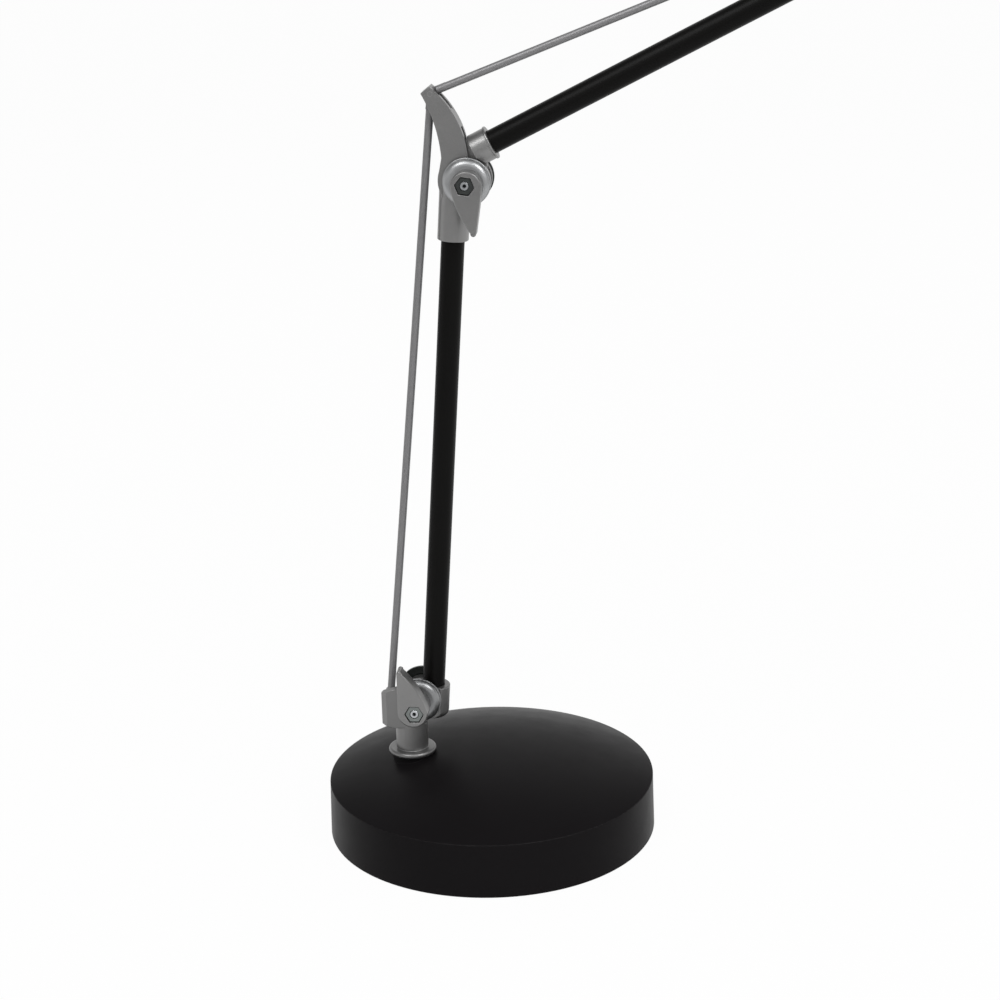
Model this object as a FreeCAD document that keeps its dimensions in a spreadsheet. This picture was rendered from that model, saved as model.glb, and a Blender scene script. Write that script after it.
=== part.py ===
import FreeCAD, Part
import math
import os

import Sketcher

Vector = FreeCAD.Vector

# Driving dimensions in millimetres and degrees.
# The frame is +Z up, origin at the centre of the base's underside, +X the way the arm leans.
SIZES = {
    # Base
    "base_radius": 110.0,
    "base_draft": 0.8,
    "wall_height": 37.4,
    "dome_rise": 22.9,
    "shell_wall": 2.5,
    "shell_lift": 0.8,
    "crease_radius": 0.7,
    "foot_height": 2.0,
    "foot_inset": 4.0,
    "cover_thickness": 1.5,
    "cover_clearance": 0.4,
    "ballast_inset": 16.0,
    "ballast_height": 11.0,
    "ballast_bevel": 1.0,
    "ballast_well_radius": 17.0,
    "screw_count": 3,
    "screw_circle_radius": 72.0,
    "screw_boss_radius": 5.5,
    "screw_radius": 2.0,
    "screw_length": 26.0,
    "screw_head_radius": 3.8,
    "screw_head_height": 1.5,
    "screw_head_round": 0.5,
    "screw_clearance": 0.3,
    "screw_tip_room": 1.0,
    "screw_boss_cover": 0.5,
    "inlet_height": 22.0,
    "inlet_radius": 4.0,
    "grommet_bore_radius": 2.6,
    "grommet_lip": 2.2,
    "grommet_lip_thickness": 1.4,
    "grommet_lip_bevel": 0.6,
    "grommet_play": 0.9,
    # Swivel
    "post_x": -52.0,
    "post_y": -11.6,
    "arm_y": 0.0,
    "boss_radius": 13.5,
    "boss_top": 57.8,
    "boss_depth": 14.0,
    "stud_radius": 5.0,
    "stud_bore_radius": 3.0,
    "stud_fit": 0.05,
    "stud_grip": 8.0,
    "stud_tail": 3.0,
    "swivel_washer_radius": 11.0,
    "swivel_washer_thickness": 1.6,
    "swivel_nut_flats": 16.0,
    "swivel_nut_height": 6.0,
    "seat_gap": 0.1,
    # Post casting
    "flange_radius": 16.0,
    "flange_height": 3.8,
    "flange_round": 1.8,
    "column_radius": 10.8,
    "head_radius": 8.6,
    "head_face": 26.4,
    "block_face": 21.9,
    "block_left": 24.1,
    "block_top": 12.2,
    "block_bottom": 14.2,
    "block_bevel": 3.4,
    "block_shoulder": 3.0,
    "block_neck": 12.8,
    "block_corner": 1.4,
    "block_root_step": 2.0,
    "post_pin_depth": 4.0,
    "post_pin_shoulder": 3.2,
    "post_pin_head": 3.8,
    "post_pin_head_height": 1.5,
    # Base joint and lower arm
    "base_joint_x": -46.8,
    "base_joint_z": 94.7,
    "lower_reach": 352.1,
    "lower_lean": 6.895,
    "lower_tube_lean": 4.2,
    "lower_tube_offset": 8.5,
    "tube_radius": 7.5,
    "tube_wall": 1.2,
    "collar_radius": 10.0,
    "collar_edge": 0.8,
    "cup_radius": 11.2,
    "cup_top": 8.4,
    "cup_bottom": 14.5,
    "cup_round": 5.0,
    "cup_floor": 4.2,
    "spigot_length": 25.0,
    "spigot_fit": 0.05,
    "joint_half_width": 10.3,
    "knuckle_radius": 10.0,
    "thrust_washer_thickness": 1.0,
    "elbow_socket_top": 21.0,
    "elbow_socket_bottom": 39.0,
    "elbow_cheek_radius": 14.5,
    "turn_gap": 0.3,
    "weld_depth": 0.5,
    # Link rods
    "link_pin_radius": 1.5,
    "link_fit": 0.05,
    "rod_eye_room": 1.2,
    "fork_room": 0.7,
    "rod_radius": 2.5,
    "lower_link_x": -20.4,
    "lower_link_z": -1.0,
    "lower_eye_radius": 4.5,
    "lower_eye_half_width": 4.4,
    "horn_link_x": -21.8,
    "horn_link_z": 54.1,
    "horn_eye_radius": 3.2,
    "eye_thickness": 3.0,
    "eye_side_gap": 0.1,
    "tang_length": 6.0,
    "tang_inset": 1.8,
    # Horn
    "horn_half_width": 7.0,
    "horn_slot_half_width": 3.3,
    "horn_root_radius": 18.6,
    "horn_root_top_angle": 161.1,
    "horn_root_low_angle": 215.0,
    "horn_tip_left_x": -27.6,
    "horn_tip_left_z": 54.4,
    "horn_tip_right_x": -22.2,
    "horn_tip_right_z": 58.6,
    "horn_waist_left_x": -15.9,
    "horn_waist_left_z": 14.5,
    "horn_waist_right_x": 0.6,
    "horn_waist_right_z": 15.8,
    "horn_left_bow": 2.3,
    "horn_right_bow": 5.0,
    "horn_back_wall": 4.0,
    "horn_slot_top": 33.0,
    "horn_eye_room": 0.35,
    "horn_channel_length": 25.0,
    "horn_channel_width": 12.0,
    "horn_mouth_width": 14.0,
    "horn_mouth_height": 11.0,
    # Clamp stack at the two big pivots
    "bolt_radius": 3.0,
    "bolt_fit": 0.05,
    "bolt_head_flats": 10.0,
    "bolt_head_height": 4.0,
    "bolt_dimple_radius": 1.3,
    "bolt_dimple_depth": 1.6,
    "bolt_end_bevel": 0.5,
    "washer_radius": 15.3,
    "washer_rim": 1.5,
    "washer_groove": 0.7,
    "washer_groove_depth": 1.2,
    "washer_front_radius": 14.6,
    "washer_front_rim": 1.3,
    "washer_height": 6.0,
    "washer_crown_radius": 10.6,
    "washer_crown_bow": 0.7,
    "lever_thickness": 10.0,
    "lever_radius": 10.0,
    "lever_hub_x": -0.9,
    "lever_hub_z": 0.8,
    "lever_length": 30.6,
    "lever_side": 9.1,
    "lever_tip_radius": 1.8,
    "lever_back_bow": 2.0,
    "lever_round": 1.0,
    "elbow_lever_turn": 188.5,
    "nut_flats": 10.0,
    "nut_height": 5.0,
    "nut_recess": 1.0,
    "nut_play": 0.6,
    "thrust_washer_radius": 8.0,
    # Upper arm
    "upper_reach": 335.0,
    "upper_rise": 21.0,
    "upper_tube_rise": 26.49,
    "upper_tube_offset": 13.9,
    "upper_collar_radius": 10.3,
    "upper_collar_start": 12.0,
    "upper_collar_end": 24.0,
    "upper_collar_lip": 0.5,
    "upper_lip_length": 1.3,
    "upper_socket_depth": 10.5,
    "upper_knuckle_half_width": 2.6,
    "upper_hub_radius": 11.0,
    "upper_lip_round": 0.4,
    "upper_web_top_angle": 116.7,
    "upper_web_low_angle": -43.9,
    "upper_web_inset": 0.8,
    "upper_web_reach": 4.0,
    "upper_web_lap": 1.0,
    "outer_neck_length": 56.0,
    "outer_cap_length": 5.0,
    "outer_half_width": 4.0,
    "outer_hub_radius": 11.0,
    "outer_leaf_overlap": 0.5,
    "outer_top_bow": 10.0,
    "outer_bottom_bow": 7.0,
    # Head bracket
    "plate_thickness": 2.5,
    "plate_gap": 0.3,
    "plate_link_radius": 6.5,
    "plate_hub_radius": 11.5,
    "plate_head_radius": 9.0,
    "plate_waist_bow": 3.0,
    "plate_top_bow": 8.0,
    "head_pivot_x": 56.0,
    "head_pivot_z": -10.0,
    "plate_spacer_radius": 4.0,
    "small_bolt_radius": 2.5,
    "small_bolt_flats": 8.0,
    "small_head_height": 3.5,
    "small_head_round": 1.2,
    "knob_radius": 11.0,
    "knob_height": 11.0,
    "knob_groove_radius": 1.4,
    "knob_groove_count": 12,
    "knob_groove_stand": 0.4,
    "knob_round": 1.5,
    "knob_bore_depth": 9.4,
    "knob_screw_reach": 8.8,
    # Head
    "head_lean": 12.0,
    "tab_half_width": 4.0,
    "tab_radius": 8.5,
    "tab_drop": 20.0,
    "tab_foot_radius": 13.0,
    "tab_foot_height": 4.0,
    "tab_foot_round": 1.0,
    "cover_radius": 21.0,
    "cover_length": 46.0,
    "cover_wall": 1.6,
    "cover_shoulder": 8.0,
    "cover_shoulder_bow": 1.66,
    "vent_drop": 2.0,
    "vent_count": 8,
    "vent_width": 3.0,
    "vent_length": 12.0,
    "shade_overlap": 8.0,
    "shade_length": 84.0,
    "shade_radius": 64.0,
    "shade_bulge": 9.0,
    "shade_wall": 1.4,
    "shade_fit": 0.1,
    "shade_lip": 1.0,
    "shade_lip_height": 2.0,
    "shade_neck_step": 1.0,
    "socket_radius": 12.5,
    "socket_length": 40.0,
    "socket_bore_radius": 7.6,
    "socket_bore_spare": 2.0,
    "socket_round": 1.2,
    "bulb_radius": 22.5,
    "bulb_neck_radius": 9.5,
    "bulb_length": 66.0,
    "bulb_cap_radius": 7.2,
    "bulb_cap_length": 22.0,
    "bulb_contact_radius": 3.0,
    "bulb_contact_height": 1.6,
    "bulb_join_angle": 37.0,
    "bulb_neck_bow": 4.0,
    "bulb_neck_length": 3.0,
    "button_radius": 4.5,
    "button_stand": 4.0,
    "button_fit": 0.1,
    "button_round": 1.0,
    "bezel_radius": 7.0,
    "bezel_height": 1.6,
    "bezel_drop": 2.0,
}

# How far a cut runs past the face that it opens
PAST = 1.0


class Size:
    """A number together with the sheet expression that gives it."""

    def __init__(self, value, text):
        self.value = float(value)
        self.text = text

    def __add__(self, other):
        other = as_size(other)
        return Size(self.value + other.value, f"({self.text} + {other.text})")

    __radd__ = __add__

    def __sub__(self, other):
        other = as_size(other)
        return Size(self.value - other.value, f"({self.text} - {other.text})")

    def __rsub__(self, other):
        return as_size(other) - self

    def __mul__(self, other):
        other = as_size(other)
        return Size(self.value * other.value, f"({self.text} * {other.text})")

    __rmul__ = __mul__

    def __truediv__(self, other):
        other = as_size(other)
        return Size(self.value / other.value, f"({self.text} / {other.text})")

    def __neg__(self):
        return Size(-self.value, f"(0 - {self.text})")


def as_size(number):
    if isinstance(number, Size):
        return number
    return Size(number, repr(float(number)))


def sin_of(angle):
    return Size(math.sin(math.radians(angle.value)), f"sin({angle.text})")


def cos_of(angle):
    return Size(math.cos(math.radians(angle.value)), f"cos({angle.text})")


def atan_of(ratio):
    return Size(math.degrees(math.atan(ratio.value)), f"(atan({ratio.text}) / 1 deg)")


def root_of(number):
    return Size(math.sqrt(number.value), f"sqrt({number.text})")


doc = FreeCAD.newDocument("balance_desk_lamp")
sheet = doc.addObject("Spreadsheet::Sheet", "dims")
for row, (alias, number) in enumerate(SIZES.items(), start=1):
    sheet.set(f"A{row}", alias)
    sheet.set(f"B{row}", str(number))
    sheet.setAlias(f"B{row}", alias)
doc.recompute()


def dim(alias):
    return Size(SIZES[alias], f"dims.{alias}")


# Helpers

def bind(item, prop, size):
    size = as_size(size)
    item.setExpression(prop, size.text)


def new_body(label, x=0, y=0, z=0, turn=None):
    """A body whose origin stands at x, y, z, turned about +Y by the angle turn."""
    body = doc.addObject("PartDesign::Body", label)
    body.Label = label
    x, y, z = as_size(x), as_size(y), as_size(z)
    angle = as_size(0 if turn is None else turn)
    spin = FreeCAD.Rotation(Vector(0, 1, 0), angle.value)
    body.Placement = FreeCAD.Placement(Vector(x.value, y.value, z.value), spin)
    bind(body, "Placement.Base.x", x)
    bind(body, "Placement.Base.y", y)
    bind(body, "Placement.Base.z", z)
    if turn is not None:
        sign = 1 if body.Placement.Rotation.Axis.y > 0 else -1
        bind(body, "Placement.Rotation.Angle", angle * sign)
    return body


def new_sketch(body, plane, lift=None):
    """A sketch on one of the body's own planes, lifted along the plane's normal."""
    sketch = body.newObject("Sketcher::SketchObject", "sketch")
    role = plane + "_Plane"
    support = [face for face in body.Origin.OriginFeatures if face.Role == role][0]
    sketch.AttachmentSupport = [(support, "")]
    sketch.MapMode = "FlatFace"
    if lift is not None:
        sketch.AttachmentOffset = FreeCAD.Placement(Vector(0, 0, as_size(lift).value), FreeCAD.Rotation())
        bind(sketch, "AttachmentOffset.Base.z", lift)
    return sketch


def hold(sketch, kind, args, size):
    size = as_size(size)
    index = sketch.addConstraint(Sketcher.Constraint(kind, *args, size.value))
    sketch.setExpression(f"Constraints[{index}]", size.text)


def hold_point(sketch, geometry, point, x, y):
    hold(sketch, "DistanceX", (-1, 1, geometry, point), x)
    hold(sketch, "DistanceY", (-1, 1, geometry, point), y)


def circle(sketch, x, y, radius):
    x, y, radius = as_size(x), as_size(y), as_size(radius)
    ring = Part.Circle(Vector(x.value, y.value, 0), Vector(0, 0, 1), radius.value)
    index = sketch.addGeometry(ring, False)
    hold(sketch, "Radius", (index,), radius)
    hold_point(sketch, index, 3, x, y)


def outline(sketch, *steps):
    """A closed outline. A step is (x, y) or (x, y, bow): bow is how far the edge that
    leads from this corner to the next bulges to its right, as an arc."""
    corners = [(as_size(step[0]), as_size(step[1])) for step in steps]
    bows = [step[2] if len(step) > 2 else None for step in steps]
    ends = []
    for index, (x, y) in enumerate(corners):
        next_x, next_y = corners[(index + 1) % len(corners)]
        start = Vector(x.value, y.value, 0)
        stop = Vector(next_x.value, next_y.value, 0)
        if bows[index] is None:
            geometry = sketch.addGeometry(Part.LineSegment(start, stop), False)
            ends.append((geometry, 1, 2))
            continue
        bow = as_size(bows[index])
        run = stop - start
        right = Vector(run.y, -run.x, 0)
        right.normalize()
        crown = (start + stop) * 0.5 + right * bow.value
        geometry = sketch.addGeometry(Part.Arc(start, crown, stop), False)
        across = next_x - x
        up = next_y - y
        chord = root_of(across * across + up * up)
        reach = chord / (8 * bow) - bow / (2 * chord)
        if abs(run.x) > abs(run.y):
            hold(sketch, "DistanceY", (-1, 1, geometry, 3), (y + next_y) / 2 + across * reach)
        else:
            hold(sketch, "DistanceX", (-1, 1, geometry, 3), (x + next_x) / 2 - up * reach)
        to_first = sketch.getPoint(geometry, 1).distanceToPoint(start)
        to_last = sketch.getPoint(geometry, 2).distanceToPoint(start)
        ends.append((geometry, 1, 2) if to_first < to_last else (geometry, 2, 1))
    for index, (geometry, first, last) in enumerate(ends):
        following, following_first, _ = ends[(index + 1) % len(ends)]
        sketch.addConstraint(Sketcher.Constraint("Coincident", geometry, last, following, following_first))
        hold_point(sketch, geometry, first, *corners[index])


def rectangle(sketch, left, right, bottom, top):
    outline(sketch, (left, bottom), (right, bottom), (right, top), (left, top))


def hexagon(sketch, x, y, flats):
    """Six corners about x, y, two of them on the first axis."""
    reach = as_size(flats) / math.sqrt(3)
    corners = []
    for turn in range(6):
        angle = math.radians(60 * turn)
        corners.append((as_size(x) + reach * math.cos(angle), as_size(y) + reach * math.sin(angle)))
    outline(sketch, *corners)


def extrude(kind, body, sketch, length, both, back):
    feature = body.newObject("PartDesign::" + kind, kind.lower())
    feature.Profile = sketch
    feature.Length = as_size(length).value
    bind(feature, "Length", length)
    feature.Midplane = both
    feature.Reversed = back
    doc.recompute()
    return feature


def pad(body, sketch, length, both=False, back=False):
    return extrude("Pad", body, sketch, length, both, back)


def pocket(body, sketch, length, both=False, back=False):
    before = body.Shape.Volume
    feature = extrude("Pocket", body, sketch, length, both, back)
    if body.Shape.Volume > before - 1e-3:
        raise RuntimeError(body.Label + ": a pocket cuts nothing")
    return feature


def turned(body, sketch, plane_axis="V_Axis"):
    feature = body.newObject("PartDesign::Revolution", "revolution")
    feature.Profile = sketch
    feature.ReferenceAxis = (sketch, [plane_axis])
    feature.Angle = 360
    doc.recompute()
    return feature


def edges_where(body, test):
    """Names of the edges of the body's shape that pass the test, in the body's own frame."""
    shape = body.Tip.Shape
    return [f"Edge{number}" for number, edge in enumerate(shape.Edges, start=1) if test(edge)]


def dress(kind, body, size, test):
    """Round or bevel the edges that pass the test."""
    base = body.Tip
    names = edges_where(body, test)
    if not names:
        raise RuntimeError(body.Label + ": no edge to dress")
    feature = body.newObject("PartDesign::" + kind, kind.lower())
    feature.Base = (base, names)
    prop = "Radius" if kind == "Fillet" else "Size"
    setattr(feature, prop, as_size(size).value)
    bind(feature, prop, size)
    doc.recompute()
    return feature


def ring_at(axis, place, radius=None):
    """A test for full circles at a place along an axis, with a given radius."""
    def test(edge):
        if edge.Degenerated or not edge.Closed or not hasattr(edge.Curve, "Radius"):
            return False
        if abs(getattr(edge.Curve.Center, axis) - place) > 0.01:
            return False
        return radius is None or abs(edge.Curve.Radius - radius) < 0.01
    return test


def around(body, feature, count, axis_role):
    pattern = body.newObject("PartDesign::PolarPattern", "polar_pattern")
    pattern.Originals = [feature]
    axis = [line for line in body.Origin.OriginFeatures if line.Role == axis_role][0]
    pattern.Axis = (axis, [""])
    pattern.Angle = 360
    pattern.Occurrences = int(count.value)
    bind(pattern, "Occurrences", count)
    body.Tip = pattern
    doc.recompute()
    return pattern


def round_bar(body, plane, x, y, radius, start, end):
    """A cylinder square to a plane, from start to end along the plane's normal."""
    sketch = new_sketch(body, plane, start)
    circle(sketch, x, y, radius)
    return pad(body, sketch, as_size(end) - start)


def round_hole(body, plane, x, y, radius, start, end):
    sketch = new_sketch(body, plane, end)
    circle(sketch, x, y, radius)
    return pocket(body, sketch, as_size(end) - start)


def cross_bore(body, x, z, radius, reach):
    """A bore along Y, centred on the arm's plane."""
    sketch = new_sketch(body, "XZ")
    circle(sketch, x, z, radius)
    return pocket(body, sketch, as_size(reach) * 2, both=True)


def plate(body, half_width, draw, *args):
    """A pad of equal depth each side of the arm's plane."""
    sketch = new_sketch(body, "XZ")
    draw(sketch, *args)
    return pad(body, sketch, as_size(half_width) * 2, both=True)


def slot(body, half_width, draw, *args):
    sketch = new_sketch(body, "XZ")
    draw(sketch, *args)
    return pocket(body, sketch, as_size(half_width) * 2, both=True)


# Places worked out from the driving dimensions

arm_y = dim("arm_y")
post_x = dim("post_x")
base_joint_x = dim("base_joint_x")
base_joint_z = dim("base_joint_z")
elbow_x = base_joint_x + dim("lower_reach") * sin_of(dim("lower_lean"))
elbow_z = base_joint_z + dim("lower_reach") * cos_of(dim("lower_lean"))
tube_slant = dim("lower_lean") - dim("lower_tube_lean")
elbow_tube_x = dim("lower_tube_offset") - dim("lower_reach") * sin_of(tube_slant)
elbow_rise = dim("lower_reach") * cos_of(tube_slant)
outer_x = elbow_x + dim("upper_reach") * cos_of(dim("upper_rise"))
outer_z = elbow_z + dim("upper_reach") * sin_of(dim("upper_rise"))
upper_slant = dim("upper_tube_rise") - dim("upper_rise")
outer_run = dim("upper_reach") * cos_of(upper_slant)
outer_drop = dim("upper_tube_offset") + dim("upper_reach") * sin_of(upper_slant)
lower_link_x = base_joint_x + dim("lower_link_x")
lower_link_z = base_joint_z + dim("lower_link_z")
horn_link_x = elbow_x + dim("horn_link_x")
horn_link_z = elbow_z + dim("horn_link_z")
link_run = horn_link_x - lower_link_x
link_rise = horn_link_z - lower_link_z
head_x = outer_x + dim("head_pivot_x")
head_z = outer_z + dim("head_pivot_z")
column_x = post_x - base_joint_x
column_y = dim("post_y") - arm_y
stack_face = dim("joint_half_width")
washer_face = stack_face + dim("washer_height")
cheek_back = washer_face + dim("seat_gap")
base_lever_back = dim("head_face") + dim("seat_gap")
elbow_lever_back = washer_face + dim("seat_gap")
cover_floor = dim("foot_height")
ballast_floor = cover_floor + dim("cover_thickness")
ballast_top = ballast_floor + dim("ballast_height")
cup_side = dim("lower_tube_offset") + dim("cup_radius") - dim("cup_round")
cup_drop = dim("cup_bottom") - dim("cup_round")
# The cup's farthest point from the lower joint
cup_reach = root_of(cup_side * cup_side + cup_drop * cup_drop) + dim("cup_round")
boss_floor = dim("boss_top") - dim("boss_depth")


def dome_height(radius):
    """Height of the dome's outside at a distance from the base's centre."""
    rim = dim("base_radius")
    rise = dim("dome_rise")
    sphere = (rim * rim + rise * rise) / (2 * rise)
    return dim("wall_height") + rise - sphere + root_of(sphere * sphere - radius * radius)


# Base

def make_base_shell():
    body = new_body("base_shell")
    radius = dim("base_radius")
    wall = dim("shell_wall")
    foot = radius + dim("base_draft")
    crown = dim("wall_height") + dim("dome_rise")
    half_run = radius / 2
    half_rise = dim("dome_rise") / 2
    sphere = (radius * radius + dim("dome_rise") * dim("dome_rise")) / (2 * dim("dome_rise"))
    bow = sphere - root_of(sphere * sphere - half_run * half_run - half_rise * half_rise)
    sketch = new_sketch(body, "XZ")
    outline(
        sketch,
        (foot, dim("shell_lift")),
        (radius, dim("wall_height"), bow),
        (0, crown),
        (0, crown - wall, -bow),
        (radius - wall, dim("wall_height") - wall),
        (foot - wall, dim("shell_lift")),
    )
    turned(body, sketch)
    dress("Fillet", body, dim("crease_radius"), ring_at("z", SIZES["wall_height"], SIZES["base_radius"]))
    round_bar(body, "XY", post_x, dim("post_y"), dim("boss_radius"), boss_floor, dim("boss_top"))
    boss_end = dome_height(dim("screw_circle_radius") + dim("screw_boss_radius")) - dim("screw_boss_cover")
    circle_radius = dim("screw_circle_radius")
    boss = round_bar(body, "XY", circle_radius, 0, dim("screw_boss_radius"), ballast_top, boss_end)
    around(body, boss, dim("screw_count"), "Z_Axis")
    bore_top = cover_floor + dim("screw_length") + dim("screw_tip_room")
    bore = round_hole(body, "XY", circle_radius, 0, dim("screw_radius"), ballast_top, bore_top)
    around(body, bore, dim("screw_count"), "Z_Axis")
    stud_hole = dim("stud_radius") + dim("stud_fit")
    round_hole(body, "XY", post_x, dim("post_y"), stud_hole, boss_floor - PAST, dim("boss_top") + PAST)
    inlet = new_sketch(body, "XZ", -(foot + PAST))
    circle(inlet, 0, dim("inlet_height"), dim("inlet_radius"))
    pocket(body, inlet, wall * 2, back=True)
    return body


def screw_holes(body, radius, bottom, top):
    """Holes through a layer of the base, one on each cover screw."""
    hole = round_hole(body, "XY", dim("screw_circle_radius"), 0, radius, bottom - PAST, top + PAST)
    around(body, hole, dim("screw_count"), "Z_Axis")


def make_base_ballast():
    body = new_body("base_ballast")
    sketch = new_sketch(body, "XY", ballast_floor)
    circle(sketch, 0, 0, dim("base_radius") - dim("ballast_inset"))
    pad(body, sketch, dim("ballast_height"))
    dress("Chamfer", body, dim("ballast_bevel"), ring_at("z", ballast_top.value))
    well = dim("ballast_well_radius")
    round_hole(body, "XY", post_x, dim("post_y"), well, ballast_floor - PAST, ballast_top + PAST)
    screw_holes(body, dim("screw_radius") + dim("screw_clearance"), ballast_floor, ballast_top)
    return body


def make_base_cover():
    body = new_body("base_cover")
    radius = dim("base_radius") + dim("base_draft") - dim("shell_wall") - dim("cover_clearance")
    round_bar(body, "XY", 0, 0, radius, cover_floor, ballast_floor)
    screw_holes(body, dim("screw_radius") + dim("screw_clearance"), cover_floor, ballast_floor)
    return body


def make_base_foot():
    """A rubber sheet under the whole cover, open about each screw head."""
    body = new_body("base_foot")
    round_bar(body, "XY", 0, 0, dim("base_radius") - dim("foot_inset"), 0, dim("foot_height"))
    screw_holes(body, dim("screw_head_radius") + dim("screw_clearance"), as_size(0), dim("foot_height"))
    return body


def make_cover_screws():
    """Pan-head screws that clamp cover and ballast against the shell's bosses."""
    solids = []
    head_floor = cover_floor.value - SIZES["screw_head_height"]
    for turn in range(SIZES["screw_count"]):
        angle = 2 * math.pi * turn / SIZES["screw_count"]
        x = SIZES["screw_circle_radius"] * math.cos(angle)
        y = SIZES["screw_circle_radius"] * math.sin(angle)
        foot = Vector(x, y, head_floor)
        head = Part.makeCylinder(SIZES["screw_head_radius"], SIZES["screw_head_height"], foot)
        rim = [edge for edge in head.Edges if abs(edge.CenterOfMass.z - head_floor) < 0.01]
        head = head.makeFillet(SIZES["screw_head_round"], rim)
        root = Vector(x, y, cover_floor.value)
        shank = Part.makeCylinder(SIZES["screw_radius"], SIZES["screw_length"], root)
        solids.append(head.fuse(shank).removeSplitter().Solids[0])
    screws = doc.addObject("Part::Feature", "base_cover_screws")
    screws.Label = "base_cover_screws"
    screws.Shape = Part.makeCompound(solids)
    return screws


def make_cord_grommet():
    """A flanged bush in the rear wall, turned about the Y axis."""
    outside = dim("base_radius") + dim("base_draft")
    body = new_body("cord_grommet", 0, 0, dim("inlet_height"))
    bore = dim("grommet_bore_radius")
    neck = dim("inlet_radius")
    lip = neck + dim("grommet_lip")
    inner = outside - dim("shell_wall") - dim("grommet_play")
    sketch = new_sketch(body, "XY")
    outline(
        sketch,
        (bore, inner - dim("grommet_lip_thickness")),
        (lip, inner - dim("grommet_lip_thickness")),
        (lip, inner),
        (neck, inner),
        (neck, outside + dim("seat_gap")),
        (lip, outside + dim("seat_gap")),
        (lip - dim("grommet_lip_bevel"), outside + dim("grommet_lip_thickness")),
        (bore, outside + dim("grommet_lip_thickness")),
    )
    turned(body, sketch)
    return body


# Post and swivel

def make_post_casting():
    """A round column whose front cheek carries the lower joint and the lower rod's pin."""
    body = new_body("post_casting", base_joint_x, arm_y, base_joint_z)
    flange_floor = dim("boss_top") - base_joint_z + dim("seat_gap")
    flange_top = flange_floor + dim("flange_height")
    round_bar(body, "XY", column_x, column_y, dim("flange_radius"), flange_floor, flange_top)
    dress("Fillet", body, dim("flange_round"), ring_at("z", flange_top.value))
    dress("Fillet", body, dim("flange_round"), ring_at("z", flange_floor.value))
    round_bar(body, "XY", column_x, column_y, dim("column_radius"), flange_floor, 0)
    # Room for the domed washers, and for the knuckle's cup as the arm leans
    slot(body, cheek_back, circle, 0, 0, dim("washer_radius") + dim("turn_gap") * 2)
    slot(body, dim("cup_radius") + dim("turn_gap") * 2, circle, 0, 0, cup_reach + dim("turn_gap") * 2)
    left = column_x - dim("column_radius")
    radius = dim("head_radius")
    shoulder = root_of(radius * radius - column_x * column_x)
    corner = dim("block_corner")
    block_left = -dim("block_left")
    block_top = dim("block_top")
    block_bottom = -dim("block_bottom")
    sketch = new_sketch(body, "XZ", cheek_back)
    outline(
        sketch,
        (column_x, block_bottom - dim("block_root_step")),
        (column_x, -shoulder, radius),
        (-column_x, shoulder),
        (-dim("block_neck"), block_top),
        (block_left + corner, block_top - dim("block_shoulder")),
        (block_left, block_top - dim("block_shoulder") - corner),
        (block_left, block_bottom),
        (left, block_bottom - dim("block_root_step")),
    )
    pad(body, sketch, dim("block_face") - cheek_back)
    dress("Chamfer", body, dim("block_bevel"), post_edge_test)
    round_bar(body, "XZ", 0, 0, radius, cheek_back, dim("head_face"))
    cross_bore(body, 0, 0, dim("bolt_radius") + dim("bolt_fit"), dim("head_face") + PAST)
    pin_end = cheek_back + dim("post_pin_depth")
    pin = dim("link_pin_radius")
    round_hole(body, "XZ", dim("lower_link_x"), dim("lower_link_z"), pin, cheek_back - PAST, pin_end)
    stud_end = flange_floor + dim("stud_grip")
    round_hole(body, "XY", column_x, column_y, dim("stud_radius"), flange_floor - PAST, stud_end)
    return body


def post_edge_test(edge):
    """The upright edge between the block's front and its left side."""
    box = edge.BoundBox
    at_left = abs(box.XMax + SIZES["block_left"]) < 0.01 and abs(box.XMin + SIZES["block_left"]) < 0.01
    return at_left and abs(box.YMax + SIZES["block_face"]) < 0.01 and box.ZLength > SIZES["block_top"]


def make_swivel_stud():
    body = new_body("swivel_stud", post_x, dim("post_y"), dim("boss_top"))
    grip = dim("stud_grip") + dim("seat_gap")
    length = dim("boss_depth") + dim("swivel_washer_thickness") + dim("swivel_nut_height") + dim("stud_tail")
    sketch = new_sketch(body, "XY", -length)
    circle(sketch, 0, 0, dim("stud_radius"))
    circle(sketch, 0, 0, dim("stud_bore_radius"))
    pad(body, sketch, length + grip)
    return body


def make_swivel_washer():
    body = new_body("swivel_washer", post_x, dim("post_y"), boss_floor - dim("seat_gap"))
    sketch = new_sketch(body, "XY", -dim("swivel_washer_thickness"))
    circle(sketch, 0, 0, dim("swivel_washer_radius"))
    circle(sketch, 0, 0, dim("stud_radius"))
    pad(body, sketch, dim("swivel_washer_thickness"))
    return body


def make_swivel_nut():
    top = boss_floor - dim("seat_gap") - dim("swivel_washer_thickness")
    body = new_body("swivel_nut", post_x, dim("post_y"), top)
    sketch = new_sketch(body, "XY", -dim("swivel_nut_height"))
    hexagon(sketch, 0, 0, dim("swivel_nut_flats"))
    circle(sketch, 0, 0, dim("stud_radius"))
    pad(body, sketch, dim("swivel_nut_height"))
    return body


# Clamp stack: the same bolt, domed washers, nut and lever serve both big pivots

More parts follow.
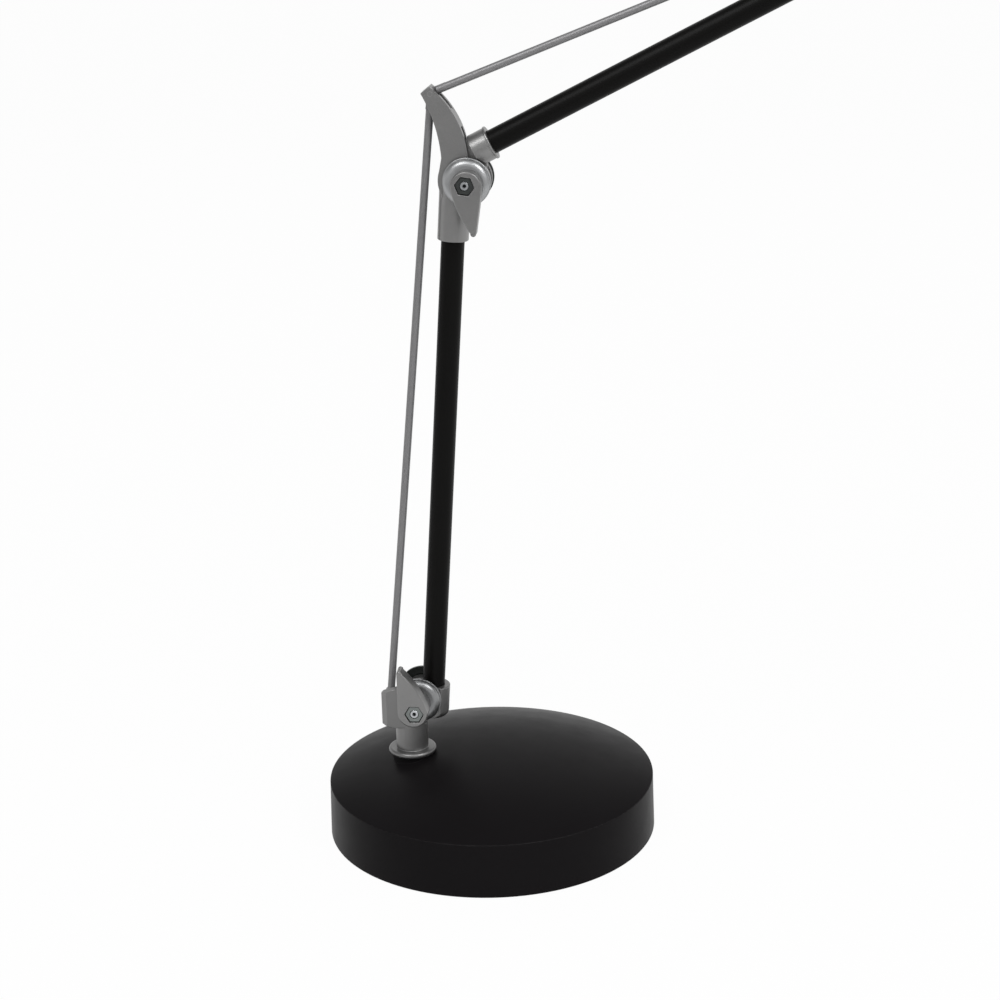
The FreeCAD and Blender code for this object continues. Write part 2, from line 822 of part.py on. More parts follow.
def make_clamp_bolt(label, x, z, lever_back):
    """Hex head at the rear, shank through the joint, dimpled end inside the nut."""
    body = new_body(label, x, arm_y, z)
    head = new_sketch(body, "XZ", -(washer_face + dim("bolt_head_height")))
    hexagon(head, 0, 0, dim("bolt_head_flats"))
    pad(body, head, dim("bolt_head_height"))
    end = lever_back + dim("lever_thickness") - dim("nut_recess")
    shank = new_sketch(body, "XZ", -washer_face)
    circle(shank, 0, 0, dim("bolt_radius"))
    pad(body, shank, washer_face + end)
    round_hole(body, "XZ", 0, 0, dim("bolt_dimple_radius"), end - dim("bolt_dimple_depth"), end)
    dress("Chamfer", body, dim("bolt_end_bevel"), ring_at("y", -end.value, SIZES["bolt_radius"]))
    return body


def make_clamp_washer(label, x, z, front):
    """A domed washer with two rims and a groove between them."""
    body = new_body(label, x, arm_y, z)
    bore = dim("bolt_radius") + dim("bolt_fit")
    sign = -1 if front else 1
    depths = [stack_face]
    depths.append(depths[-1] + dim("washer_rim"))
    depths.append(depths[-1] + dim("washer_groove"))
    depths.append(depths[-1] + dim("washer_front_rim"))
    face = stack_face + dim("washer_height")
    groove = dim("washer_front_radius") - dim("washer_groove_depth")
    bow = dim("washer_crown_bow") * sign
    sketch = new_sketch(body, "XY")
    outline(
        sketch,
        (bore, depths[0] * sign),
        (dim("washer_radius"), depths[0] * sign),
        (dim("washer_radius"), depths[1] * sign),
        (groove, depths[1] * sign),
        (groove, depths[2] * sign),
        (dim("washer_front_radius"), depths[2] * sign),
        (dim("washer_front_radius"), depths[3] * sign, bow),
        (dim("washer_crown_radius"), face * sign),
        (bore, face * sign),
    )
    turned(body, sketch)
    return body


def make_clamp_nut(label, x, z, turn, lever_back):
    body = new_body(label, x, arm_y, z, turn)
    face = lever_back + dim("lever_thickness") - dim("nut_recess")
    sketch = new_sketch(body, "XZ", face - dim("nut_height"))
    hexagon(sketch, 0, 0, dim("nut_flats"))
    circle(sketch, 0, 0, dim("bolt_radius") + dim("bolt_fit"))
    pad(body, sketch, dim("nut_height"))
    return body


def make_clamp_lever(label, x, z, turn, back):
    """A leaf-shaped lever: round about the nut, one straight side, one bowed side."""
    body = new_body(label, x, arm_y, z, turn)
    radius = dim("lever_radius")
    hub_x = dim("lever_hub_x")
    hub_z = dim("lever_hub_z")
    tip = dim("lever_tip_radius")
    tip_x = -dim("lever_side")
    length = dim("lever_length")
    sketch = new_sketch(body, "XZ", back)
    outline(
        sketch,
        (hub_x - radius, hub_z, radius),
        (hub_x + radius, hub_z, dim("lever_back_bow")),
        (tip_x + tip, length - tip, tip),
        (tip_x - tip, length - tip),
    )
    pad(body, sketch, dim("lever_thickness"))
    face = back + dim("lever_thickness")
    dress("Fillet", body, dim("lever_round"), lambda edge: abs(edge.BoundBox.YMax + face.value) < 0.01)
    recess = new_sketch(body, "XZ", face)
    hexagon(recess, 0, 0, dim("nut_flats") + dim("nut_play") * 2)
    pocket(body, recess, dim("nut_height") + dim("nut_recess"))
    cross_bore(body, 0, 0, dim("bolt_radius") + dim("bolt_fit"), face + PAST)
    return body


def make_thrust_washers(label, x, z, inner, outer):
    """A pair of thin washers, one each side of the middle leaf of a joint."""
    solids = []
    for side in (-1, 1):
        foot = Vector(x.value, SIZES["arm_y"] + side * inner.value, z.value)
        axis = Vector(0, side, 0)
        thickness = outer.value - inner.value
        disc = Part.makeCylinder(SIZES["thrust_washer_radius"], thickness, foot, axis)
        bore = Part.makeCylinder(SIZES["bolt_radius"] + SIZES["bolt_fit"], thickness, foot, axis)
        solids.append(disc.cut(bore).Solids[0])
    pair = doc.addObject("Part::Feature", label)
    pair.Label = label
    pair.Shape = Part.makeCompound(solids)
    return pair


def make_pin(label, x, z, half_length):
    body = new_body(label, x, arm_y, z)
    plate(body, half_length, circle, 0, 0, dim("link_pin_radius"))
    return body


def make_lower_link_pin():
    """A shouldered pin in the back of the post's block, with a head that keeps the rod on."""
    body = new_body("lower_link_pin", lower_link_x, arm_y, lower_link_z)
    eye = dim("lower_eye_half_width") + dim("turn_gap")
    head = eye + dim("post_pin_head_height")
    round_bar(body, "XZ", 0, 0, dim("post_pin_shoulder"), eye, cheek_back)
    round_bar(body, "XZ", 0, 0, dim("link_pin_radius"), -head, cheek_back + dim("post_pin_depth"))
    round_bar(body, "XZ", 0, 0, dim("post_pin_head"), -head, -eye)
    return body


# Lower arm

def make_lower_knuckle():
    """A drum between the domed washers, joined to the cup that holds the lower tube."""
    body = new_body("lower_knuckle", base_joint_x, arm_y, base_joint_z, dim("lower_tube_lean"))
    tube_x = dim("lower_tube_offset")
    cup = dim("cup_radius")
    round_bar(body, "XY", tube_x, 0, cup, -dim("cup_bottom"), dim("cup_top"))
    dress("Fillet", body, dim("cup_round"), ring_at("z", -SIZES["cup_bottom"]))
    dress("Fillet", body, dim("collar_edge"), ring_at("z", SIZES["cup_top"]))
    # Flats that leave the domed washers free
    drum = stack_face - dim("thrust_washer_thickness")
    for side in (1, -1):
        sketch = new_sketch(body, "XZ", drum * side)
        rectangle(sketch, tube_x - cup, tube_x + cup, -(dim("cup_bottom") + PAST), dim("cup_top") + PAST)
        pocket(body, sketch, cup, back=side > 0)
    floor = dim("cup_floor")
    radius = dim("knuckle_radius")
    plate(body, drum, circle, 0, 0, radius)
    plate(body, drum, rectangle, 0, tube_x, -radius, floor - dim("weld_depth"))
    round_hole(body, "XY", tube_x, 0, dim("tube_radius"), floor, radius + PAST)
    spigot = dim("tube_radius") - dim("tube_wall") - dim("spigot_fit")
    round_bar(body, "XY", tube_x, 0, spigot, floor - dim("weld_depth"), floor + dim("spigot_length"))
    cross_bore(body, 0, 0, dim("bolt_radius") + dim("bolt_fit"), drum + PAST)
    return body


def make_lower_tube():
    body = new_body("lower_tube", base_joint_x, arm_y, base_joint_z, dim("lower_tube_lean"))
    top = elbow_rise - dim("elbow_socket_top")
    sketch = new_sketch(body, "XY", dim("cup_floor"))
    circle(sketch, dim("lower_tube_offset"), 0, dim("tube_radius"))
    circle(sketch, dim("lower_tube_offset"), 0, dim("tube_radius") - dim("tube_wall"))
    pad(body, sketch, top - dim("cup_floor"))
    return body


def make_elbow_casting():
    """A collar on the lower tube that opens into two round cheeks about the elbow bolt."""
    body = new_body("elbow_casting", elbow_x, arm_y, elbow_z, dim("lower_tube_lean"))
    bottom = dim("elbow_socket_bottom")
    radius = dim("collar_radius")
    round_bar(body, "XY", elbow_tube_x, 0, radius, -bottom, -radius / 2)
    dress("Fillet", body, dim("collar_edge"), ring_at("z", -bottom.value))
    plate(body, stack_face, circle, 0, 0, dim("elbow_cheek_radius"))
    room = dim("horn_root_radius") + dim("turn_gap")
    slot(body, dim("horn_half_width") + dim("seat_gap"), circle, 0, 0, room)
    round_hole(body, "XY", elbow_tube_x, 0, dim("tube_radius"), -(bottom + PAST), -dim("elbow_socket_top"))
    cross_bore(body, 0, 0, dim("bolt_radius") + dim("bolt_fit"), stack_face + PAST)
    return body


def make_horn():
    """A curved fin about the elbow bolt whose tip carries both link rods."""
    body = new_body("horn", elbow_x, arm_y, elbow_z)
    root = dim("horn_root_radius")
    hub = dim("elbow_cheek_radius")
    waist_left = (dim("horn_waist_left_x"), dim("horn_waist_left_z"))
    top_angle = dim("horn_root_top_angle")
    low_angle = dim("horn_root_low_angle")
    root_bow = root - root * cos_of((low_angle - top_angle) / 2)
    # The two ends of the hub's half circle
    hub_angle = atan_of(dim("horn_waist_right_x") / dim("horn_waist_right_z"))
    hub_x = hub * sin_of(hub_angle)
    hub_z = hub * cos_of(hub_angle)
    sketch = new_sketch(body, "XZ")
    outline(
        sketch,
        (dim("horn_tip_left_x"), dim("horn_tip_left_z"), -dim("horn_left_bow")),
        waist_left,
        (root * cos_of(top_angle), root * sin_of(top_angle), root_bow),
        (root * cos_of(low_angle), root * sin_of(low_angle)),
        (-hub_x, -hub_z, hub),
        (hub_x, hub_z),
        (dim("horn_waist_right_x"), dim("horn_waist_right_z"), dim("horn_right_bow")),
        (dim("horn_tip_right_x"), dim("horn_tip_right_z")),
    )
    pad(body, sketch, dim("horn_half_width") * 2, both=True)
    slot_half = dim("horn_slot_half_width")
    back = dim("horn_waist_left_x") + dim("horn_back_wall")
    slot(
        body,
        slot_half,
        outline,
        (back, -hub - PAST),
        (hub + PAST, -hub - PAST),
        (hub + PAST, dim("horn_slot_top")),
        (back / 2, dim("horn_slot_top")),
        (back, dim("horn_waist_left_z") / 2),
    )
    link_x = dim("horn_link_x")
    link_z = dim("horn_link_z")
    eye = dim("horn_eye_radius") + dim("horn_eye_room")
    slot(body, slot_half, circle, link_x, link_z, eye)
    channel = link_x + dim("rod_radius") + dim("fork_room")
    far_left = link_x - dim("horn_channel_width")
    slot(body, slot_half, rectangle, far_left, channel, link_z - dim("horn_channel_length"), link_z)
    far_right = link_x + dim("horn_mouth_width")
    slot(
        body,
        slot_half,
        outline,
        (link_x, link_z - eye),
        (far_right, link_z - dim("horn_mouth_height")),
        (far_right, link_z + dim("horn_mouth_height")),
        (link_x + eye * sin_of(dim("upper_rise")), link_z + eye * cos_of(dim("upper_rise"))),
    )
    cross_bore(body, 0, 0, dim("bolt_radius") + dim("bolt_fit"), dim("horn_half_width") + PAST)
    cross_bore(body, link_x, link_z, dim("link_pin_radius"), dim("horn_half_width") + PAST)
    return body


# Link rods

def make_lower_rod():
    lean = atan_of(link_run / link_rise)
    length = root_of(link_run * link_run + link_rise * link_rise)
    body = new_body("lower_rod", lower_link_x, arm_y, lower_link_z, lean)
    start = dim("lower_eye_radius") - dim("weld_depth") * 2
    end = length - dim("horn_eye_radius") - dim("weld_depth") * 2
    round_bar(body, "XY", 0, 0, dim("rod_radius"), start, end)
    plate(body, dim("lower_eye_half_width"), circle, 0, 0, dim("lower_eye_radius"))
    # This eye has play on its pin, so the linkage never binds
    loose_bore = dim("link_pin_radius") + dim("rod_eye_room")
    cross_bore(body, 0, 0, loose_bore, dim("lower_eye_half_width") + PAST)
    eye = new_sketch(body, "XZ", dim("eye_side_gap"))
    circle(eye, 0, length, dim("horn_eye_radius"))
    pad(body, eye, dim("eye_thickness"))
    tang = new_sketch(body, "XZ", dim("eye_side_gap"))
    tang_end = length - dim("tang_inset")
    rectangle(tang, -dim("rod_radius"), dim("rod_radius"), end - dim("tang_length"), tang_end)
    pad(body, tang, dim("rod_radius") - dim("eye_side_gap"))
    cross_bore(body, 0, length, dim("link_pin_radius") + dim("link_fit"), dim("eye_thickness") + PAST)
    return body


def make_upper_rod():
    body = new_body("upper_rod", horn_link_x, arm_y, horn_link_z, -dim("upper_rise"))
    length = dim("upper_reach")
    bore = dim("link_pin_radius") + dim("link_fit")
    start = dim("horn_eye_radius") + dim("weld_depth") * 2
    end = length - dim("lower_eye_radius") + dim("weld_depth") * 2
    round_bar(body, "YZ", 0, 0, dim("rod_radius"), start, end)
    plate(body, dim("outer_half_width"), circle, length, 0, dim("lower_eye_radius"))
    cross_bore(body, length, 0, bore, dim("outer_half_width") + PAST)
    near = -(dim("eye_side_gap") + dim("eye_thickness"))
    eye = new_sketch(body, "XZ", near)
    circle(eye, 0, 0, dim("horn_eye_radius"))
    pad(body, eye, dim("eye_thickness"))
    tang = new_sketch(body, "XZ", -dim("rod_radius"))
    rectangle(tang, dim("tang_inset"), start + dim("tang_length"), -dim("rod_radius"), dim("rod_radius"))
    pad(body, tang, dim("rod_radius") - dim("eye_side_gap"))
    cross_bore(body, 0, 0, bore, dim("eye_thickness") + PAST)
    return body


# Upper arm

def make_upper_knuckle():
    body = new_body("upper_knuckle", elbow_x, arm_y, elbow_z, -dim("upper_tube_rise"))
    offset = dim("upper_tube_offset")
    radius = dim("upper_collar_radius")
    start = dim("upper_collar_start")
    end = dim("upper_collar_end")
    round_bar(body, "YZ", 0, offset, radius, start, end)
    round_bar(body, "YZ", 0, offset, radius + dim("upper_collar_lip"), end - dim("upper_lip_length"), end)
    dress("Fillet", body, dim("upper_lip_round"), ring_at("x", end.value))
    room = dim("washer_radius") + dim("turn_gap")
    slot(body, radius + PAST, circle, 0, 0, room)
    leaf = dim("upper_knuckle_half_width")
    hub = dim("upper_hub_radius")
    plate(body, leaf, circle, 0, 0, hub)
    top = offset + radius - dim("upper_web_inset")
    top_angle = dim("upper_web_top_angle")
    low_angle = dim("upper_web_low_angle")
    web_end = start + dim("upper_web_reach")
    plate(
        body,
        leaf,
        outline,
        (hub * cos_of(top_angle), hub * sin_of(top_angle)),
        (hub * cos_of(low_angle), hub * sin_of(low_angle)),
        (web_end, offset - radius + dim("upper_web_inset")),
        (web_end, top),
        (start - dim("upper_web_lap"), top),
    )
    round_hole(body, "YZ", 0, offset, dim("tube_radius"), end - dim("upper_socket_depth"), end + PAST)
    cross_bore(body, 0, 0, dim("bolt_radius") + dim("bolt_fit"), leaf + PAST)
    return body


def make_upper_tube():
    body = new_body("upper_tube", elbow_x, arm_y, elbow_z, -dim("upper_tube_rise"))
    start = dim("upper_collar_end") - dim("upper_socket_depth")
    end = outer_run - dim("outer_neck_length")
    sketch = new_sketch(body, "YZ", start)
    circle(sketch, 0, dim("upper_tube_offset"), dim("tube_radius"))
    circle(sketch, 0, dim("upper_tube_offset"), dim("tube_radius") - dim("tube_wall"))
    pad(body, sketch, end - start)
    return body


def make_outer_knuckle():
    """A plug in the upper tube's end with a curved leaf that drops to the outer pivot."""
    body = new_body("outer_knuckle", outer_x, arm_y, outer_z, -dim("upper_tube_rise"))
    neck = -dim("outer_neck_length")
    cap_end = neck + dim("outer_cap_length")
    spigot = dim("tube_radius") - dim("tube_wall") - dim("spigot_fit")
    round_bar(body, "YZ", 0, outer_drop, dim("tube_radius"), neck, cap_end)
    round_bar(body, "YZ", 0, outer_drop, spigot, neck - dim("spigot_length"), neck + dim("weld_depth"))
    leaf = dim("outer_half_width")
    leaf_start = neck + dim("outer_leaf_overlap")
    hub = dim("outer_hub_radius")
    plate(body, leaf, circle, 0, 0, hub)
    plate(
        body,
        leaf,
        outline,
        (leaf_start, outer_drop - dim("tube_radius"), -dim("outer_bottom_bow")),
        (-hub, 0),
        (hub, 0, dim("outer_top_bow")),
        (leaf_start, outer_drop + dim("tube_radius")),
    )
    cross_bore(body, 0, 0, dim("bolt_radius") + dim("bolt_fit"), leaf + PAST)
    return body


# Head bracket

def make_bracket_plate(label, side):
    """A bent plate through the rod pin, the outer pivot and the head pivot."""
    body = new_body(label, outer_x, arm_y, outer_z)
    inner = dim("outer_half_width") + dim("plate_gap")
    lift = inner if side < 0 else -(inner + dim("plate_thickness"))
    link_x = dim("horn_link_x")
    link_z = dim("horn_link_z")
    pivot_x = dim("head_pivot_x")
    pivot_z = dim("head_pivot_z")
    link_radius = dim("plate_link_radius")
    hub = dim("plate_hub_radius")
    end_radius = dim("plate_head_radius")
    for x, z, radius in ((link_x, link_z, link_radius), (0, 0, hub), (pivot_x, pivot_z, end_radius)):
        disc = new_sketch(body, "XZ", lift)
        circle(disc, x, z, radius)
        pad(body, disc, dim("plate_thickness"))
    inset = dim("weld_depth") / 2
    web = new_sketch(body, "XZ", lift)
    outline(
        web,
        (link_x - link_radius + inset, link_z, -dim("plate_waist_bow")),
        (inset - hub, 0),
        (0, inset - hub, -dim("plate_waist_bow")),
        (pivot_x, pivot_z - end_radius + inset),
        (pivot_x, pivot_z + end_radius - inset, -dim("plate_top_bow")),
        (link_x + link_radius - inset, link_z),
    )
    pad(body, web, dim("plate_thickness"))
    face = inner + dim("plate_thickness") + PAST
    cross_bore(body, link_x, link_z, dim("link_pin_radius"), face)
    cross_bore(body, 0, 0, dim("bolt_radius"), face)
    cross_bore(body, pivot_x, pivot_z, dim("small_bolt_radius") + dim("bolt_fit"), face)
    return body


def bracket_face():
    return dim("outer_half_width") + dim("plate_gap") + dim("plate_thickness")


def make_bracket_spacer():
    body = new_body("bracket_spacer", outer_x, arm_y, outer_z)
    inner = dim("outer_half_width") + dim("plate_gap")
    spot_x = dim("head_pivot_x") / 2
    plate(body, inner, circle, spot_x, 0, dim("plate_spacer_radius"))
    return body


def make_outer_pivot_bolt():
    body = new_body("outer_pivot_bolt", outer_x, arm_y, outer_z)
    face = bracket_face()
    head = new_sketch(body, "XZ", face)
    circle(head, 0, 0, dim("bolt_radius") * 2)
    pad(body, head, dim("small_head_height"))
    dress("Fillet", body, dim("small_head_round"), ring_at("y", -(face + dim("small_head_height")).value))
    end = face + dim("nut_height") + dim("bolt_end_bevel") * 2
    shank = new_sketch(body, "XZ", -end)
    circle(shank, 0, 0, dim("bolt_radius"))
    pad(body, shank, face + end)
    return body


def make_outer_pivot_nut():
    body = new_body("outer_pivot_nut", outer_x, arm_y, outer_z)
    face = bracket_face()
    sketch = new_sketch(body, "XZ", -(face + dim("nut_height")))
    hexagon(sketch, 0, 0, dim("nut_flats"))
    circle(sketch, 0, 0, dim("bolt_radius"))
    pad(body, sketch, dim("nut_height"))
    return body


def make_head_screw():
    """The head pivot: hex head in the rear plate, shank through the tab into the knob."""
    body = new_body("head_pivot_screw", head_x, arm_y, head_z)
    face = bracket_face()
    head = new_sketch(body, "XZ", -(face + dim("small_head_height")))
    hexagon(head, 0, 0, dim("small_bolt_flats"))
    pad(body, head, dim("small_head_height"))
    shank = new_sketch(body, "XZ", -face)
    circle(shank, 0, 0, dim("small_bolt_radius"))
    pad(body, shank, face * 2 + dim("knob_screw_reach"))
    return body


def make_head_knob():
    body = new_body("head_knob", head_x, arm_y, head_z)
    face = bracket_face() + dim("seat_gap")
    base = new_sketch(body, "XZ", face)
    circle(base, 0, 0, dim("knob_radius"))
    pad(body, base, dim("knob_height"))
    dress("Fillet", body, dim("knob_round"), ring_at("y", -(face + dim("knob_height")).value))
    groove = new_sketch(body, "XZ", face + dim("knob_height") + PAST)
    circle(groove, dim("knob_radius") + dim("knob_groove_stand"), 0, dim("knob_groove_radius"))
    cut = pocket(body, groove, dim("knob_height") + PAST * 2)
    around(body, cut, dim("knob_groove_count"), "Y_Axis")
    bore = new_sketch(body, "XZ", face - PAST)
    circle(bore, 0, 0, dim("small_bolt_radius") + dim("bolt_fit"))
    pocket(body, bore, dim("knob_bore_depth") + PAST, back=True)
    return body


# Head, drawn about the head pivot with its own axis along Z

def head_body(label):
    return new_body(label, head_x, arm_y, head_z, -dim("head_lean"))


cover_top = -dim("tab_drop")
cover_bottom = cover_top - dim("cover_length")


def make_head_tab():
    body = head_body("head_tab")
    foot_top = cover_top + dim("tab_foot_height")
    radius = dim("tab_radius")
    plate(body, dim("tab_half_width"), circle, 0, 0, radius)
    plate(body, dim("tab_half_width"), rectangle, -radius, radius, foot_top - dim("weld_depth"), 0)
    round_bar(body, "XY", 0, 0, dim("tab_foot_radius"), cover_top, foot_top)
    dress("Fillet", body, dim("tab_foot_round"), ring_at("z", cover_top.value))
    cross_bore(body, 0, 0, dim("small_bolt_radius") + dim("bolt_fit"), dim("tab_half_width") + PAST)
    return body


def make_socket_cover():
    """A turned can with a rounded shoulder and a ring of vent slots."""
    body = head_body("socket_cover")
    radius = dim("cover_radius")
    wall = dim("cover_wall")
    shoulder = dim("cover_shoulder")
    bow = dim("cover_shoulder_bow")
    sketch = new_sketch(body, "XZ")
    outline(
        sketch,
        (0, cover_top),
        (0, cover_top - wall),
        (radius - shoulder, cover_top - wall, -bow),
        (radius - wall, cover_top - shoulder),
        (radius - wall, cover_bottom),
        (radius, cover_bottom),
        (radius, cover_top - shoulder, bow),
        (radius - shoulder, cover_top),
    )
    turned(body, sketch)
    vent_top = cover_top - shoulder - dim("vent_drop")
    vent = new_sketch(body, "YZ", radius + PAST)
    half = dim("vent_width") / 2
    low = vent_top - dim("vent_length")
    outline(vent, (-half, low, half), (half, low), (half, vent_top, half), (-half, vent_top))
    cut = pocket(body, vent, wall * 2 + PAST)
    around(body, cut, dim("vent_count"), "Z_Axis")
    stem = dim("button_radius") + dim("button_fit")
    hole = new_sketch(body, "YZ", -(radius + PAST))
    circle(hole, 0, switch_height(), stem)
    pocket(body, hole, wall * 2 + PAST, back=True)
    return body


def switch_height():
    vent_floor = cover_top - dim("cover_shoulder") - dim("vent_drop") - dim("vent_length")
    return vent_floor - dim("bezel_drop") - dim("bezel_radius")


def make_shade():
    body = head_body("shade")
    neck = dim("cover_radius") + dim("shade_fit")
    wall = dim("shade_wall")
    top = cover_bottom + dim("shade_overlap")
    flare = cover_bottom
    rim = dim("shade_radius")
    bottom = flare - dim("shade_length")
    lip = dim("shade_lip")
    lip_top = bottom + dim("shade_lip_height")
    sketch = new_sketch(body, "XZ")
    outline(
        sketch,
        (neck, top),
        (neck, flare, -dim("shade_bulge")),
        (rim - wall, lip_top),
        (rim - wall, bottom),
        (rim + lip, bottom),
        (rim + lip, lip_top),
        (rim, lip_top, dim("shade_bulge")),
        (neck + wall, flare + dim("shade_neck_step")),
        (neck + wall, top),
    )
    turned(body, sketch)
    return body


def make_lamp_socket():
    body = head_body("lamp_socket")
    top = cover_top - dim("cover_wall")
    round_bar(body, "XY", 0, 0, dim("socket_radius"), top - dim("socket_length"), top)
    bore_depth = dim("bulb_cap_length") + dim("socket_bore_spare")
    floor = top - dim("socket_length")
    round_hole(body, "XY", 0, 0, dim("socket_bore_radius"), floor - PAST, floor + bore_depth)
    dress("Fillet", body, dim("socket_round"), ring_at("z", floor.value, SIZES["socket_radius"]))
    return body


def bulb_seat():
    return cover_top - dim("cover_wall") - dim("socket_length")


def make_bulb_cap():
    body = head_body("bulb_cap")
    seat = bulb_seat()
    end = seat + dim("bulb_cap_length")
    round_bar(body, "XY", 0, 0, dim("bulb_cap_radius"), seat, end)
    round_bar(body, "XY", 0, 0, dim("bulb_contact_radius"), end, end + dim("bulb_contact_height"))
    return body


def make_bulb_glass():
    body = head_body("bulb_glass")
    seat = bulb_seat()
    neck = dim("bulb_neck_radius")
    radius = dim("bulb_radius")
    centre = seat - dim("bulb_length") + radius
    # The globe ends where its slope meets the neck's sweep
    join_x = radius * cos_of(dim("bulb_join_angle"))
    join_z = radius * sin_of(dim("bulb_join_angle"))
    half_chord = root_of(join_x * join_x + (join_z + radius) * (join_z + radius)) / 2
    bow = radius - root_of(radius * radius - half_chord * half_chord)
    sketch = new_sketch(body, "XZ")
    outline(
        sketch,
        (0, seat),
        (0, centre - radius, bow),
        (join_x, centre + join_z, -dim("bulb_neck_bow")),
        (neck, seat - dim("bulb_neck_length")),
        (neck, seat),
    )
    turned(body, sketch)
    return body


def make_switch_housing():
    """A bezel outside the cover's side and a box with the contacts behind it."""
    body = head_body("switch_housing")
    radius = dim("cover_radius")
    z = switch_height()
    stem = dim("button_radius") + dim("button_fit")
    bezel = new_sketch(body, "YZ", -(radius + dim("bezel_height")))
    circle(bezel, 0, z, dim("bezel_radius"))
    circle(bezel, 0, z, stem)
    pad(body, bezel, dim("bezel_height"))
    return body


def make_switch_button():
    body = head_body("switch_button")
    radius = dim("cover_radius")
    z = switch_height()
    face = -(radius + dim("button_stand"))
    round_bar(body, "YZ", 0, z, dim("button_radius"), face, -(radius - dim("cover_wall")))
    dress("Fillet", body, dim("button_round"), ring_at("x", face.value))
    return body


# Build every sub-part

parts = [
    make_base_shell(),
    make_base_ballast(),
    make_base_cover(),
    make_base_foot(),
    make_cover_screws(),
    make_cord_grommet(),
    make_post_casting(),
    make_swivel_stud(),
    make_swivel_washer(),
    make_swivel_nut(),
    make_clamp_bolt("base_joint_bolt", base_joint_x, base_joint_z, base_lever_back),
    make_clamp_washer("base_joint_front_washer", base_joint_x, base_joint_z, True),
    make_clamp_washer("base_joint_rear_washer", base_joint_x, base_joint_z, False),
    make_clamp_nut("base_joint_nut", base_joint_x, base_joint_z, None, base_lever_back),
    make_clamp_lever("base_joint_lever", base_joint_x, base_joint_z, None, base_lever_back),
    make_thrust_washers(
        "base_joint_thrust_washers",
        base_joint_x,
        base_joint_z,
        stack_face - dim("thrust_washer_thickness") + dim("seat_gap"),
        stack_face,
    ),
    make_lower_link_pin(),
    make_lower_knuckle(),
    make_lower_tube(),
    make_elbow_casting(),
    make_clamp_bolt("elbow_bolt", elbow_x, elbow_z, elbow_lever_back),
    make_clamp_washer("elbow_front_washer", elbow_x, elbow_z, True),
    make_clamp_washer("elbow_rear_washer", elbow_x, elbow_z, False),
    make_clamp_nut("elbow_nut", elbow_x, elbow_z, dim("elbow_lever_turn"), elbow_lever_back),
    make_clamp_lever("elbow_lever", elbow_x, elbow_z, dim("elbow_lever_turn"), elbow_lever_back),
    make_thrust_washers(
        "elbow_thrust_washers",
        elbow_x,
        elbow_z,
        dim("upper_knuckle_half_width") + dim("seat_gap"),
        dim("horn_slot_half_width"),
    ),
    make_horn(),
    make_pin("horn_link_pin", horn_link_x, horn_link_z, dim("horn_half_width")),
    make_lower_rod(),
    make_upper_knuckle(),
    make_upper_tube(),
    make_outer_knuckle(),
    make_upper_rod(),
    make_bracket_plate("bracket_front_plate", -1),
    make_bracket_plate("bracket_rear_plate", 1),
    make_bracket_spacer(),
    make_pin("bracket_link_pin", outer_x + dim("horn_link_x"), outer_z + dim("horn_link_z"), bracket_face()),
    make_outer_pivot_bolt(),
    make_outer_pivot_nut(),
    make_head_screw(),
    make_head_knob(),
    make_head_tab(),
    make_socket_cover(),
    make_shade(),
    make_lamp_socket(),
    make_bulb_cap(),
    make_bulb_glass(),
    make_switch_housing(),
    make_switch_button(),
]
doc.recompute()

for item in doc.Objects:
    if "Invalid" in item.State or "Error" in item.State:
        raise RuntimeError(f"{item.Label} ({item.Name}) failed: {item.State}")
for part in parts:
    if part.Shape.isNull() or not part.Shape.isValid() or not part.Shape.Solids:
        raise RuntimeError(part.Label + " has no sound shape")

os.makedirs("parts", exist_ok=True)
for part in parts:
    part.Shape.exportStep(f"parts/{part.Label}.step")
print(len(parts), "sub-parts written")
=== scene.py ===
import math

import bpy
from mathutils import Matrix, Vector


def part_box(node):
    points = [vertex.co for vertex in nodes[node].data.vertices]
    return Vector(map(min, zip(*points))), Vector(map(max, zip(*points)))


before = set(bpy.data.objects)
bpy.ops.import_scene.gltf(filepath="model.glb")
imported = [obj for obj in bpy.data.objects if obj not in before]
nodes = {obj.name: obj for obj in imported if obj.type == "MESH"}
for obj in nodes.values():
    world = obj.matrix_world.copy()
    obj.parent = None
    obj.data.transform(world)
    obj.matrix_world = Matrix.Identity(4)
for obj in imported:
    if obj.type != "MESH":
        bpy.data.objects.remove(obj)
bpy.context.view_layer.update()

MM = 0.001


# Camera: where the photograph was taken from, about the base's middle
CAMERA_DISTANCE = 1.522524
CAMERA_ELEVATION = math.radians(25.851)
CAMERA_AZIMUTH = math.radians(6.0)
CAMERA_AIM_HEIGHT = 0.020
CAMERA_PAN = math.radians(0.43)
CAMERA_PITCH = math.radians(18.232)
CAMERA_ROLL = math.radians(-1.413)
CAMERA_LENS_MM = 79.2
SENSOR_MM = 36.0
CLIP_START = 0.05
CLIP_END = 60.0


